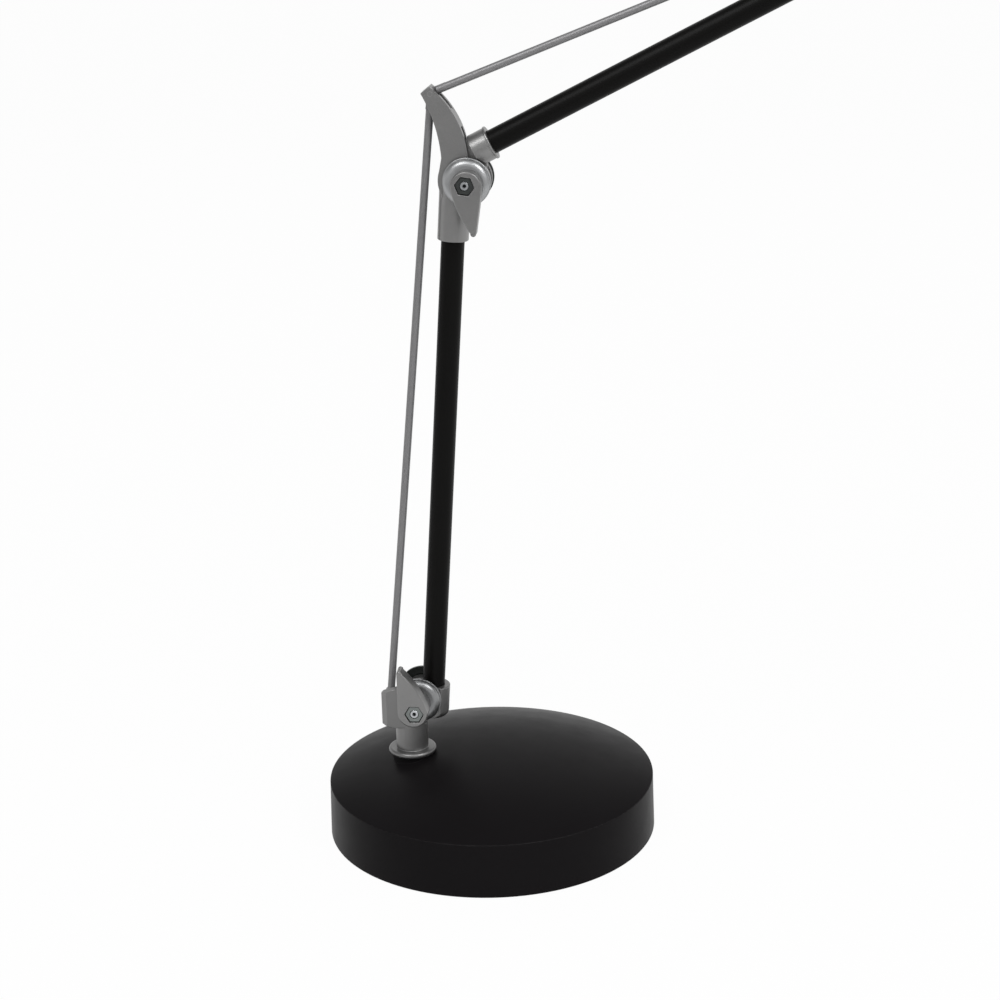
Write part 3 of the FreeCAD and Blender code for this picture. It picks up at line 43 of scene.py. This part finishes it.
def add_camera():
    turn = Matrix.Rotation(CAMERA_AZIMUTH, 3, "Z")
    place = Vector((
        0.0,
        -CAMERA_DISTANCE * math.cos(CAMERA_ELEVATION),
        CAMERA_AIM_HEIGHT + CAMERA_DISTANCE * math.sin(CAMERA_ELEVATION),
    ))
    forward = Vector((
        math.sin(CAMERA_PAN) * math.cos(CAMERA_PITCH),
        math.cos(CAMERA_PAN) * math.cos(CAMERA_PITCH),
        -math.sin(CAMERA_PITCH),
    ))
    level = Vector((math.cos(CAMERA_PAN), -math.sin(CAMERA_PAN), 0.0))
    upright = level.cross(forward)
    right = level * math.cos(CAMERA_ROLL) + upright * math.sin(CAMERA_ROLL)
    up = upright * math.cos(CAMERA_ROLL) - level * math.sin(CAMERA_ROLL)
    columns = Matrix((turn @ right, turn @ up, -(turn @ forward))).transposed()
    data = bpy.data.cameras.new("camera")
    data.lens = CAMERA_LENS_MM
    data.sensor_width = SENSOR_MM
    data.clip_start = CLIP_START
    data.clip_end = CLIP_END
    camera = bpy.data.objects.new("camera", data)
    camera.matrix_world = Matrix.Translation(turn @ place) @ columns.to_4x4()
    bpy.context.scene.collection.objects.link(camera)
    bpy.context.scene.camera = camera


# Node trees

class Nodes:
    """A node tree, with short calls for the nodes that this scene needs."""

    def __init__(self, tree):
        self.tree = tree
        tree.nodes.clear()

    def add(self, kind):
        return self.tree.nodes.new(kind)

    def link(self, source, target):
        self.tree.links.new(source, target)

    def put(self, value, socket):
        """Sets a socket to a constant or links it to another socket."""
        if isinstance(value, bpy.types.NodeSocket):
            self.link(value, socket)
        else:
            socket.default_value = value

    def spread(self, socket, low, high, start=0.0, stop=1.0, smooth=False):
        """A factor between start and stop becomes a number between low and high."""
        node = self.add("ShaderNodeMapRange")
        if smooth:
            node.interpolation_type = "SMOOTHSTEP"
        node.inputs["From Min"].default_value = start
        node.inputs["From Max"].default_value = stop
        node.inputs["To Min"].default_value = low
        node.inputs["To Max"].default_value = high
        self.link(socket, node.inputs["Value"])
        return node.outputs["Result"]

    def math(self, kind, first, second):
        node = self.add("ShaderNodeMath")
        node.operation = kind
        self.put(first, node.inputs[0])
        self.put(second, node.inputs[1])
        return node.outputs[0]

    def vector(self, kind, first, second=None):
        node = self.add("ShaderNodeVectorMath")
        node.operation = kind
        self.put(first, node.inputs[0])
        if second is not None:
            self.put(second, node.inputs[1])
        return node.outputs["Value" if kind in ("LENGTH", "DOT_PRODUCT") else "Vector"]

    def part(self, vector, axis):
        node = self.add("ShaderNodeSeparateXYZ")
        self.link(vector, node.inputs["Vector"])
        return node.outputs[axis]

    def mix_shaders(self, share, first, second):
        node = self.add("ShaderNodeMixShader")
        self.link(share, node.inputs[0])
        self.link(first, node.inputs[1])
        self.link(second, node.inputs[2])
        return node.outputs["Shader"]

    def seen_directly(self, rays):
        """1 for the camera's rays, also through glass."""
        return self.math("MAXIMUM", rays["Is Camera Ray"], rays["Is Transmission Ray"])


class Surface(Nodes):
    """A material: a principled shader, and its marks in object coordinates."""

    def __init__(self, name):
        self.material = bpy.data.materials.new(name)
        self.material.use_nodes = True
        super().__init__(self.material.node_tree)
        self.output = self.add("ShaderNodeOutputMaterial")
        self.shader = self.add("ShaderNodeBsdfPrincipled")
        self.link(self.shader.outputs["BSDF"], self.output.inputs["Surface"])
        self.place = self.add("ShaderNodeTexCoord").outputs["Object"]
        self.last_bump = None

    def set(self, **values):
        for name, value in values.items():
            self.shader.inputs[name.replace("_", " ")].default_value = value

    def feed(self, socket, name):
        self.link(socket, self.shader.inputs[name])

    def color(self):
        """The socket that feeds the base colour now."""
        return self.shader.inputs["Base Color"].links[0].from_socket

    def blend(self, factor, first, second):
        """A colour between first and second."""
        node = self.add("ShaderNodeMix")
        node.data_type = "RGBA"
        self.link(factor, node.inputs[0])
        for socket, value in ((node.inputs[6], first), (node.inputs[7], second)):
            self.put(value + (1.0,) if isinstance(value, tuple) else value, socket)
        return node.outputs[2]

    def stretched(self, scale, tilt=0.0):
        """Object coordinates turned about Y and scaled by x, y, z, for marks that run one way."""
        turned = self.add("ShaderNodeMapping")
        turned.inputs["Rotation"].default_value = (0.0, tilt, 0.0)
        self.link(self.place, turned.inputs["Vector"])
        scaled = self.add("ShaderNodeMapping")
        scaled.inputs["Scale"].default_value = scale
        self.link(turned.outputs["Vector"], scaled.inputs["Vector"])
        return scaled.outputs["Vector"]

    def noise(self, scale, detail=2.0, roughness=0.5, place=None):
        """Noise with about scale cells to the metre."""
        node = self.add("ShaderNodeTexNoise")
        node.inputs["Scale"].default_value = scale
        node.inputs["Detail"].default_value = detail
        node.inputs["Roughness"].default_value = roughness
        self.link(self.place if place is None else place, node.inputs["Vector"])
        return node.outputs["Fac"]

    def cells(self, scale):
        node = self.add("ShaderNodeTexVoronoi")
        node.inputs["Scale"].default_value = scale
        self.link(self.place, node.inputs["Vector"])
        return node.outputs["Distance"]

    def relief(self, socket, strength, depth):
        """Adds a bump of that depth in metres on top of the earlier ones."""
        node = self.add("ShaderNodeBump")
        node.inputs["Strength"].default_value = strength
        node.inputs["Distance"].default_value = depth
        self.link(socket, node.inputs["Height"])
        if self.last_bump is not None:
            self.link(self.last_bump, node.inputs["Normal"])
        self.last_bump = node.outputs["Normal"]
        self.feed(self.last_bump, "Normal")


# Paints
BEVEL_SAMPLES = 12
EDGE_STARTS = 0.985
EDGE_IS_FULL = 0.88
BLACK = (0.0072, 0.0064, 0.0070)
SHADE_BLACK = (0.0066, 0.0059, 0.0063)
TUBE_BLACK = (0.0036, 0.0034, 0.0032)
# Lighter black for the base's crease: a painted highlight
CREASE_HIGHLIGHT_BLACK = (0.085, 0.082, 0.082)
# Near-black for the rear washers: painted shade
REAR_WASHER_SHADOW_GREY = (0.050, 0.056, 0.053)
ENAMEL = ((0.74, 0.735, 0.71), (0.80, 0.795, 0.775))
SATIN = {"rough": 0.37, "specular": 0.045}
CREASE_TOP = 41.0 * MM
CREASE_FADE = 2.0 * MM


def shade_of(value, warmth=0.0):
    """A grey, a little warm or cool."""
    return (value * (1.0 + warmth), value, value * (1.0 - warmth))


def times(color, factor):
    return tuple(min(channel * factor, 1.0) for channel in color)


def rounded_edges(paint, radius, edge_wear_and_highlight, round_light):
    """Sharp edges catch light as round ones do. A lighter edge colour, if given, is painted on in
    patches along them: part wear, part painted highlight.
    """
    bevel = paint.add("ShaderNodeBevel")
    bevel.samples = BEVEL_SAMPLES
    bevel.inputs["Radius"].default_value = radius
    if round_light:
        paint.last_bump = bevel.outputs["Normal"]
    if edge_wear_and_highlight is None:
        return
    flat = paint.add("ShaderNodeNewGeometry").outputs["Normal"]
    turn = paint.vector("DOT_PRODUCT", bevel.outputs["Normal"], flat)
    edge = paint.spread(turn, 0.0, 1.0, EDGE_STARTS, EDGE_IS_FULL)
    patches = paint.spread(paint.noise(420.0, 3.0), 0.55, 1.0, 0.3, 0.7)
    share = paint.math("MULTIPLY", edge, patches)
    paint.feed(paint.blend(share, paint.color(), edge_wear_and_highlight), "Base Color")


def painted(name, color, rough, specular, grain=0.35, flake=None, edge_wear_and_highlight=None, edge=0.5 * MM,
            round_light=True):
    """Sprayed paint: fine orange peel, faint cloudiness and slightly polished patches."""
    paint = Surface(name)
    cloud = paint.noise(22.0, 3.0, 0.55)
    tone = paint.blend(cloud, times(color, 0.86), times(color, 1.13))
    if flake is not None:
        sparkle = paint.spread(paint.noise(5200.0, 1.0), 0.0, 1.0, 0.56, 0.74)
        tone = paint.blend(sparkle, tone, times(color, flake))
    paint.feed(tone, "Base Color")
    if edge is not None:
        rounded_edges(paint, edge, edge_wear_and_highlight, round_light)
    wear = paint.noise(60.0, 4.0, 0.6)
    paint.feed(paint.spread(wear, rough * 0.82, rough * 1.2), "Roughness")
    paint.set(Specular_IOR_Level=specular)
    paint.relief(paint.noise(1500.0), grain, 0.06 * MM)
    return paint


def base_paint():
    """Satin black, with a painted highlight along the crease but not round the post's foot."""
    paint = painted("base_paint", BLACK, edge_wear_and_highlight=CREASE_HIGHLIGHT_BLACK, edge=1.0 * MM, **SATIN)
    height = paint.part(paint.place, "Z")
    above = paint.spread(height, 0.0, 1.0, CREASE_TOP, CREASE_TOP + CREASE_FADE)
    paint.feed(paint.blend(above, paint.color(), BLACK), "Base Color")
    return paint


def tube_paint(name, tilt):
    """Gloss black over drawn tube, whose marks along its length still show faintly."""
    paint = painted(name, TUBE_BLACK, rough=0.38, specular=0.08, grain=0.05, edge=None)
    streaks = paint.noise(1.0, place=paint.stretched((420.0, 420.0, 4.0), tilt))
    paint.relief(streaks, 0.06, 0.01 * MM)
    return paint


def silver_paint(name, grey, edge=0.5 * MM, round_light=True):
    """Metallic grey paint over sand-cast parts."""
    # The lighter grey painted on the edges is part wear, part painted highlight.
    paint = painted(
        name, shade_of(grey, 0.006), rough=0.37, specular=0.4, grain=0.3, flake=1.25,
        edge_wear_and_highlight=shade_of(0.42), edge=edge, round_light=round_light,
    )
    paint.set(Metallic=0.85)
    paint.relief(paint.noise(320.0, 3.0), 0.35, 0.12 * MM)
    return paint


# The rear washers' near-black grey is painted shade, behind the joints.
def dark_washer():
    paint = painted("dark_washer", REAR_WASHER_SHADOW_GREY, rough=0.32, specular=0.4, flake=1.4)
    paint.set(Metallic=0.8)
    return paint


def facing_axis(surface, node):
    """1 where a surface faces the head's own axis, 0 where it faces away from it."""
    low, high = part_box(node)
    out = surface.vector("SUBTRACT", surface.place, (low + high) / 2)
    normal = surface.add("ShaderNodeVectorTransform")
    normal.vector_type = "NORMAL"
    normal.convert_from = "WORLD"
    normal.convert_to = "OBJECT"
    geometry = surface.add("ShaderNodeNewGeometry")
    surface.link(geometry.outputs["True Normal"], normal.inputs["Vector"])
    toward = surface.vector("DOT_PRODUCT", normal.outputs["Vector"], out)
    return surface.spread(toward, 1.0, 0.0, -4.0 * MM, 0.0)


def shade_paint():
    """Satin black outside and white enamel inside."""
    paint = painted("shade_paint", SHADE_BLACK, **SATIN)
    inside = facing_axis(paint, "shade")
    enamel = paint.blend(paint.noise(26.0, 3.0), *ENAMEL)
    paint.feed(paint.blend(inside, paint.color(), enamel), "Base Color")
    return paint


# Metals

def plated(name, dark, light, rough, metallic=1.0, bloom=90.0, spots=240.0, grain=2600.0,
           strength=0.2, depth=0.03 * MM):
    """Plated or polished metal: a blotchy bloom, uneven gloss and fine turning marks."""
    metal = Surface(name)
    metal.feed(metal.blend(metal.noise(bloom, 4.0, 0.6), dark, light), "Base Color")
    metal.set(Metallic=metallic)
    metal.feed(metal.spread(metal.noise(spots, 3.0), *rough), "Roughness")
    metal.relief(metal.noise(grain), strength, depth)
    return metal


def plated_steel(name="plated_steel"):
    """Bright zinc plate with a bluish cast."""
    return plated(name, (0.38, 0.395, 0.41), (0.56, 0.575, 0.59), (0.18, 0.36))


def grey_plated_steel(name, grey):
    """Plating in the grey given, with a faint green cast."""
    dark = (grey * 0.75, grey * 0.82, grey * 0.80)
    light = (grey * 1.25, grey * 1.34, grey * 1.31)
    return plated(name, dark, light, (0.24, 0.42), metallic=0.9, bloom=140.0, spots=260.0)


def bright_washer(name, grey):
    """Thinly plated, softly polished discs under the clamp levers."""
    return plated(
        name, shade_of(grey * 0.88, -0.014), shade_of(grey * 1.12, -0.014), (0.30, 0.44),
        metallic=0.9, bloom=70.0, spots=160.0, grain=1800.0, strength=0.25, depth=0.04 * MM,
    )


# A dark disc on the bolt ends: painted shade of the centre dimple.
MARK_RADIUS = 1.10 * MM
MARK_EDGE = 1.30 * MM
DIMPLE_SHADOW = (0.012, 0.013, 0.013)


def bolt_steel(name, node):
    """Zinc plate, with a dark disc painted in the threaded end's centre: painted shade of its centre
    dimple.
    """
    steel = plated_steel(name)
    low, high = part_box(node)
    offset = steel.vector("SUBTRACT", steel.place, (low + high) / 2)
    across = steel.vector("MULTIPLY", offset, (1.0, 0.0, 1.0))
    radius = steel.vector("LENGTH", across)
    outside = steel.spread(radius, 0.0, 1.0, MARK_RADIUS, MARK_EDGE)
    steel.feed(steel.blend(outside, DIMPLE_SHADOW, steel.color()), "Base Color")
    return steel


def drawn_steel(name, color, rough, scale, tilt=0.0):
    """Bare steel with drawing marks along its length."""
    steel = Surface(name)
    streaks = steel.noise(1.0, 4.0, 0.6, steel.stretched(scale, tilt))
    steel.feed(steel.blend(streaks, times(color, 0.92), times(color, 1.08)), "Base Color")
    steel.set(Metallic=0.4)
    stain = steel.noise(45.0, 4.0, 0.6)
    steel.feed(steel.spread(stain, rough * 0.75, rough * 1.3), "Roughness")
    steel.relief(streaks, 0.04, 0.01 * MM)
    return steel


def rod_steel(name, tilt):
    return drawn_steel(name, (0.205, 0.203, 0.207), 0.42, (1300.0, 1300.0, 6.0), tilt)


def pin_steel():
    return drawn_steel("pin_steel", (0.42, 0.42, 0.43), 0.25, (2200.0, 60.0, 2200.0))


def ballast_steel():
    """Flame-cut plate: mill scale with rusty patches."""
    steel = Surface("ballast_steel")
    patches = steel.spread(steel.noise(38.0, 6.0, 0.65), 0.0, 1.0, 0.45, 0.68)
    scale, rust = (0.075, 0.078, 0.085), (0.13, 0.070, 0.040)
    steel.feed(steel.blend(patches, scale, rust), "Base Color")
    steel.set(Metallic=0.6)
    steel.feed(steel.spread(patches, 0.45, 0.8), "Roughness")
    steel.relief(steel.noise(260.0, 4.0), 0.5, 0.3 * MM)
    return steel


def bulb_metal():
    cap = Surface("bulb_metal")
    cap.feed(cap.blend(cap.noise(70.0, 3.0), shade_of(0.58), shade_of(0.74)), "Base Color")
    cap.set(Metallic=1.0)
    cap.feed(cap.spread(cap.noise(300.0, 3.0), 0.22, 0.4), "Roughness")
    return cap


# Plastic, rubber, nylon and glass

def moulded(name, color, rough, specular=0.4, grain=1900.0, depth=0.05 * MM):
    """Moulded plastic with a fine spark-eroded grain."""
    plastic = Surface(name)
    cloud = plastic.noise(35.0)
    plastic.feed(plastic.blend(cloud, times(color, 0.88), times(color, 1.12)), "Base Color")
    gloss = plastic.noise(130.0, 3.0)
    plastic.feed(plastic.spread(gloss, rough * 0.85, rough * 1.15), "Roughness")
    plastic.set(Specular_IOR_Level=specular)
    plastic.relief(plastic.cells(grain), 0.35, depth)
    return plastic


def glossy_plastic(name, color, rough):
    return moulded(name, color, rough, specular=0.5, grain=2400.0, depth=0.02 * MM)


def rubber(name, grey):
    """Matt rubber with dust in its pores."""
    color = shade_of(grey)
    sheet = moulded(name, color, rough=0.72, specular=0.25, grain=900.0, depth=0.12 * MM)
    dust = sheet.spread(sheet.noise(160.0, 5.0, 0.7), 0.0, 0.5, 0.55, 0.8)
    sheet.feed(sheet.blend(dust, color, (0.09, 0.088, 0.085)), "Base Color")
    return sheet


def nylon():
    disc = moulded("slip_washer", (0.70, 0.69, 0.65), rough=0.45, specular=0.45, grain=700.0)
    disc.set(Subsurface_Weight=0.15, Subsurface_Radius=(2.0 * MM, 2.0 * MM, 1.6 * MM))
    return disc


def frosted_glass():
    """An etched bulb: it passes a soft, milky light."""
    glass = Surface("bulb_glass")
    milk = glass.blend(glass.noise(30.0), (0.90, 0.90, 0.88), (0.95, 0.95, 0.93))
    glass.feed(milk, "Base Color")
    glass.set(Transmission_Weight=0.45, IOR=1.5, Subsurface_Weight=0.3)
    glass.set(Subsurface_Radius=(6.0 * MM, 6.0 * MM, 6.0 * MM))
    glass.feed(glass.spread(glass.noise(420.0, 3.0), 0.34, 0.48), "Roughness")
    glass.relief(glass.noise(2400.0), 0.2, 0.04 * MM)
    return glass


# Which piece is made of what. The tilts are from upright, in the arm's plane
LOWER_ROD_TILT = math.atan2(40.87, 404.65)
LOWER_ARM_TILT = math.radians(4.2)
UPPER_ROD_TILT = math.radians(69.0)
UPPER_ARM_TILT = math.atan2(0.895, 0.446)


def assign(surface, *names):
    for name in names:
        node = nodes[name]
        node.data.materials.clear()
        node.data.materials.append(surface.material)


def dress_arm():
    assign(tube_paint("lower_tube_paint", -LOWER_ARM_TILT), "lower_tube")
    assign(tube_paint("upper_tube_paint", -UPPER_ARM_TILT), "upper_tube")
    assign(rod_steel("lower_rod_steel", -LOWER_ROD_TILT), "lower_rod")
    assign(rod_steel("upper_rod_steel", -UPPER_ROD_TILT), "upper_rod")
    assign(
        silver_paint("silver_paint", 0.255),
        "elbow_casting", "upper_knuckle", "outer_knuckle", "bracket_front_plate",
        "bracket_rear_plate", "head_tab",
    )
    # The levers and the post's parts take the casting paint in darker greys: painted shade.
    assign(silver_paint("shadowed_lever_paint", 0.225), "base_joint_lever", "elbow_lever")
    assign(silver_paint("shadowed_post_paint", 0.20), "post_casting", "lower_knuckle")
    # The horn's light edges are only the painted edge colour: part wear, part painted highlight.
    assign(silver_paint("horn_paint", 0.23, 0.35 * MM, False), "horn", "horn_link_pin")


def dress_fasteners():
    # The front washers, one plating in two greys: the elbow's lighter, partly a painted highlight, the
    # base joint's darker, painted shade.
    assign(bright_washer("bright_washer", 0.37), "elbow_front_washer")
    assign(bright_washer("shadowed_grey_washer", 0.29), "base_joint_front_washer")
    assign(dark_washer(), "base_joint_rear_washer", "elbow_rear_washer")
    assign(nylon(), "base_joint_thrust_washers", "elbow_thrust_washers")
    assign(pin_steel(), "lower_link_pin", "bracket_link_pin")
    assign(
        plated_steel(),
        "swivel_stud", "swivel_washer", "swivel_nut", "base_cover_screws", "bracket_spacer",
        "outer_pivot_bolt", "outer_pivot_nut", "head_pivot_screw",
    )
    for bolt in ("base_joint_bolt", "elbow_bolt"):
        assign(bolt_steel(bolt + "_steel", bolt), bolt)
    # The elbow nut's near-black grey is painted shade, of the recess it sits in.
    assign(grey_plated_steel("recess_shadowed_nut", 0.062), "elbow_nut")
    assign(grey_plated_steel("grey_nut", 0.19), "base_joint_nut")


def dress_base_and_head():
    assign(base_paint(), "base_shell")
    assign(painted("cover_paint", BLACK, **SATIN), "socket_cover")
    assign(shade_paint(), "shade")
    assign(ballast_steel(), "base_ballast")
    assign(moulded("cover_sheet", (0.030, 0.030, 0.031), 0.5), "base_cover")
    assign(rubber("foot_rubber", 0.020), "base_foot")
    assign(rubber("grommet_rubber", 0.015), "cord_grommet")
    assign(moulded("knob_plastic", shade_of(0.018), 0.45), "head_knob")
    assign(glossy_plastic("socket_plastic", shade_of(0.020), 0.28), "lamp_socket")
    assign(
        glossy_plastic("switch_plastic", (0.020, 0.020, 0.021), 0.26),
        "switch_housing", "switch_button",
    )
    assign(bulb_metal(), "bulb_cap")
    assign(frosted_glass(), "bulb_glass")


# Rounded edges. The horn has none, since a bevel breaks its mesh at the tip
EDGE_ANGLE = math.radians(32.0)
WELD_DISTANCE = 0.002 * MM
BEVEL_SEGMENTS = 2
NORMAL_WEIGHT = 70
EDGE_WIDTHS = {
    "post_casting": 0.45 * MM,
    "elbow_casting": 0.45 * MM,
    "upper_knuckle": 0.45 * MM,
    "lower_knuckle": 0.45 * MM,
    "base_joint_lever": 0.45 * MM,
    "elbow_lever": 0.45 * MM,
    "base_joint_front_washer": 0.35 * MM,
    "elbow_front_washer": 0.35 * MM,
    "base_shell": 0.6 * MM,
}


def soften(name, width):
    """A narrow bevel catches the light. The faces are joined first: the CAD's mesh has them apart."""
    node = nodes[name]
    weld = node.modifiers.new("edge_join", "WELD")
    weld.merge_threshold = WELD_DISTANCE
    bevel = node.modifiers.new("edge_round", "BEVEL")
    bevel.width = width
    bevel.segments = BEVEL_SEGMENTS
    bevel.limit_method = "ANGLE"
    bevel.angle_limit = EDGE_ANGLE
    shading = node.modifiers.new("edge_shading", "WEIGHTED_NORMAL")
    shading.weight = NORMAL_WEIGHT
    shading.keep_sharp = False
    for face in node.data.polygons:
        face.use_smooth = True


# Floor, world and lights
WHITE = (1.0, 1.0, 1.0, 1.0)
FLOOR_SIZE = 30.0
FLOOR_GREYS = (0.79, 0.80)
PAPER_EDGE = -0.80
PAPER_EDGE_BLUR = 0.15
WHITE_SHARE = 0.97
ROOM_GREY = 0.30
ROOM_BEGINS = 0.55
SWEEP_GREY = 0.52
SWEEP_TOP = 0.45

# Name, place, size and watts of each soft box, and the point that it aims at
LIGHTS = (
    ("left_box", (-0.65, -1.25, 2.0), (1.1, 1.1), 20.0, (0.0, 0.0, 0.3)),
    ("right_box", (1.2, -1.1, 1.75), (1.2, 1.2), 24.0, (0.0, 0.0, 0.3)),
    ("back_box", (-0.2, 2.2, 1.7), (2.4, 1.6), 8.0, (0.0, 0.0, 0.2)),
)


def floor_paper():
    """White paper to the eye. Past its front edge, reflections show it as the room lights it."""
    paper = Surface("floor_paper")
    paper.feed(paper.blend(paper.noise(3.0), *map(shade_of, FLOOR_GREYS)), "Base Color")
    paper.set(Roughness=0.9, Specular_IOR_Level=0.1)
    glow = paper.add("ShaderNodeEmission")
    glow.inputs["Color"].default_value = WHITE
    low_edge, high_edge = PAPER_EDGE - PAPER_EDGE_BLUR, PAPER_EDGE + PAPER_EDGE_BLUR
    on_paper = paper.spread(paper.part(paper.place, "Y"), 0.0, 1.0, low_edge, high_edge)
    rays = paper.add("ShaderNodeLightPath").outputs
    mirrored = paper.math("MULTIPLY", rays["Is Glossy Ray"], on_paper)
    white = paper.math("MAXIMUM", paper.seen_directly(rays), mirrored)
    share = paper.math("MULTIPLY", white, WHITE_SHARE)
    shader = paper.mix_shaders(share, paper.shader.outputs["BSDF"], glow.outputs["Emission"])
    paper.link(shader, paper.output.inputs["Surface"])
    return paper


def add_floor():
    mesh = bpy.data.meshes.new("floor")
    half = FLOOR_SIZE / 2
    corners = [(-half, -half, 0.0), (half, -half, 0.0), (half, half, 0.0), (-half, half, 0.0)]
    mesh.from_pydata(corners, [], [(0, 1, 2, 3)])
    floor = bpy.data.objects.new("floor", mesh)
    bpy.context.scene.collection.objects.link(floor)
    mesh.materials.append(floor_paper().material)


def add_world():
    """The sky is white to the eye. Metal mirrors it low down, and a grey room higher up."""
    world = bpy.data.worlds.new("studio")
    world.use_nodes = True
    bpy.context.scene.world = world
    sky = Nodes(world.node_tree)
    height = sky.part(sky.add("ShaderNodeTexCoord").outputs["Generated"], "Z")
    grey = sky.spread(height, SWEEP_GREY, ROOM_GREY, stop=ROOM_BEGINS, smooth=True)
    room = sky.add("ShaderNodeBackground")
    sky.link(grey, room.inputs["Color"])
    white = sky.add("ShaderNodeBackground")
    white.inputs["Color"].default_value = WHITE
    rays = sky.add("ShaderNodeLightPath").outputs
    sweep = sky.spread(height, 1.0, 0.0, stop=SWEEP_TOP, smooth=True)
    mirrored = sky.math("MULTIPLY", rays["Is Glossy Ray"], sweep)
    share = sky.math("MAXIMUM", sky.seen_directly(rays), mirrored)
    shader = sky.mix_shaders(share, room.outputs["Background"], white.outputs["Background"])
    sky.link(shader, sky.add("ShaderNodeOutputWorld").inputs["Surface"])


def add_light(name, place, size, watts, aim):
    data = bpy.data.lights.new(name, "AREA")
    data.shape = "RECTANGLE"
    data.size, data.size_y = size
    data.energy = watts
    light = bpy.data.objects.new(name, data)
    light.location = place
    light.rotation_mode = "QUATERNION"
    light.rotation_quaternion = (Vector(aim) - Vector(place)).to_track_quat("-Z", "Y")
    bpy.context.scene.collection.objects.link(light)


add_camera()
add_world()
add_floor()
for light_box in LIGHTS:
    add_light(*light_box)
dress_arm()
dress_fasteners()
dress_base_and_head()
for piece, edge_width in EDGE_WIDTHS.items():
    soften(piece, edge_width)

bpy.context.scene.view_settings.view_transform = "Standard"
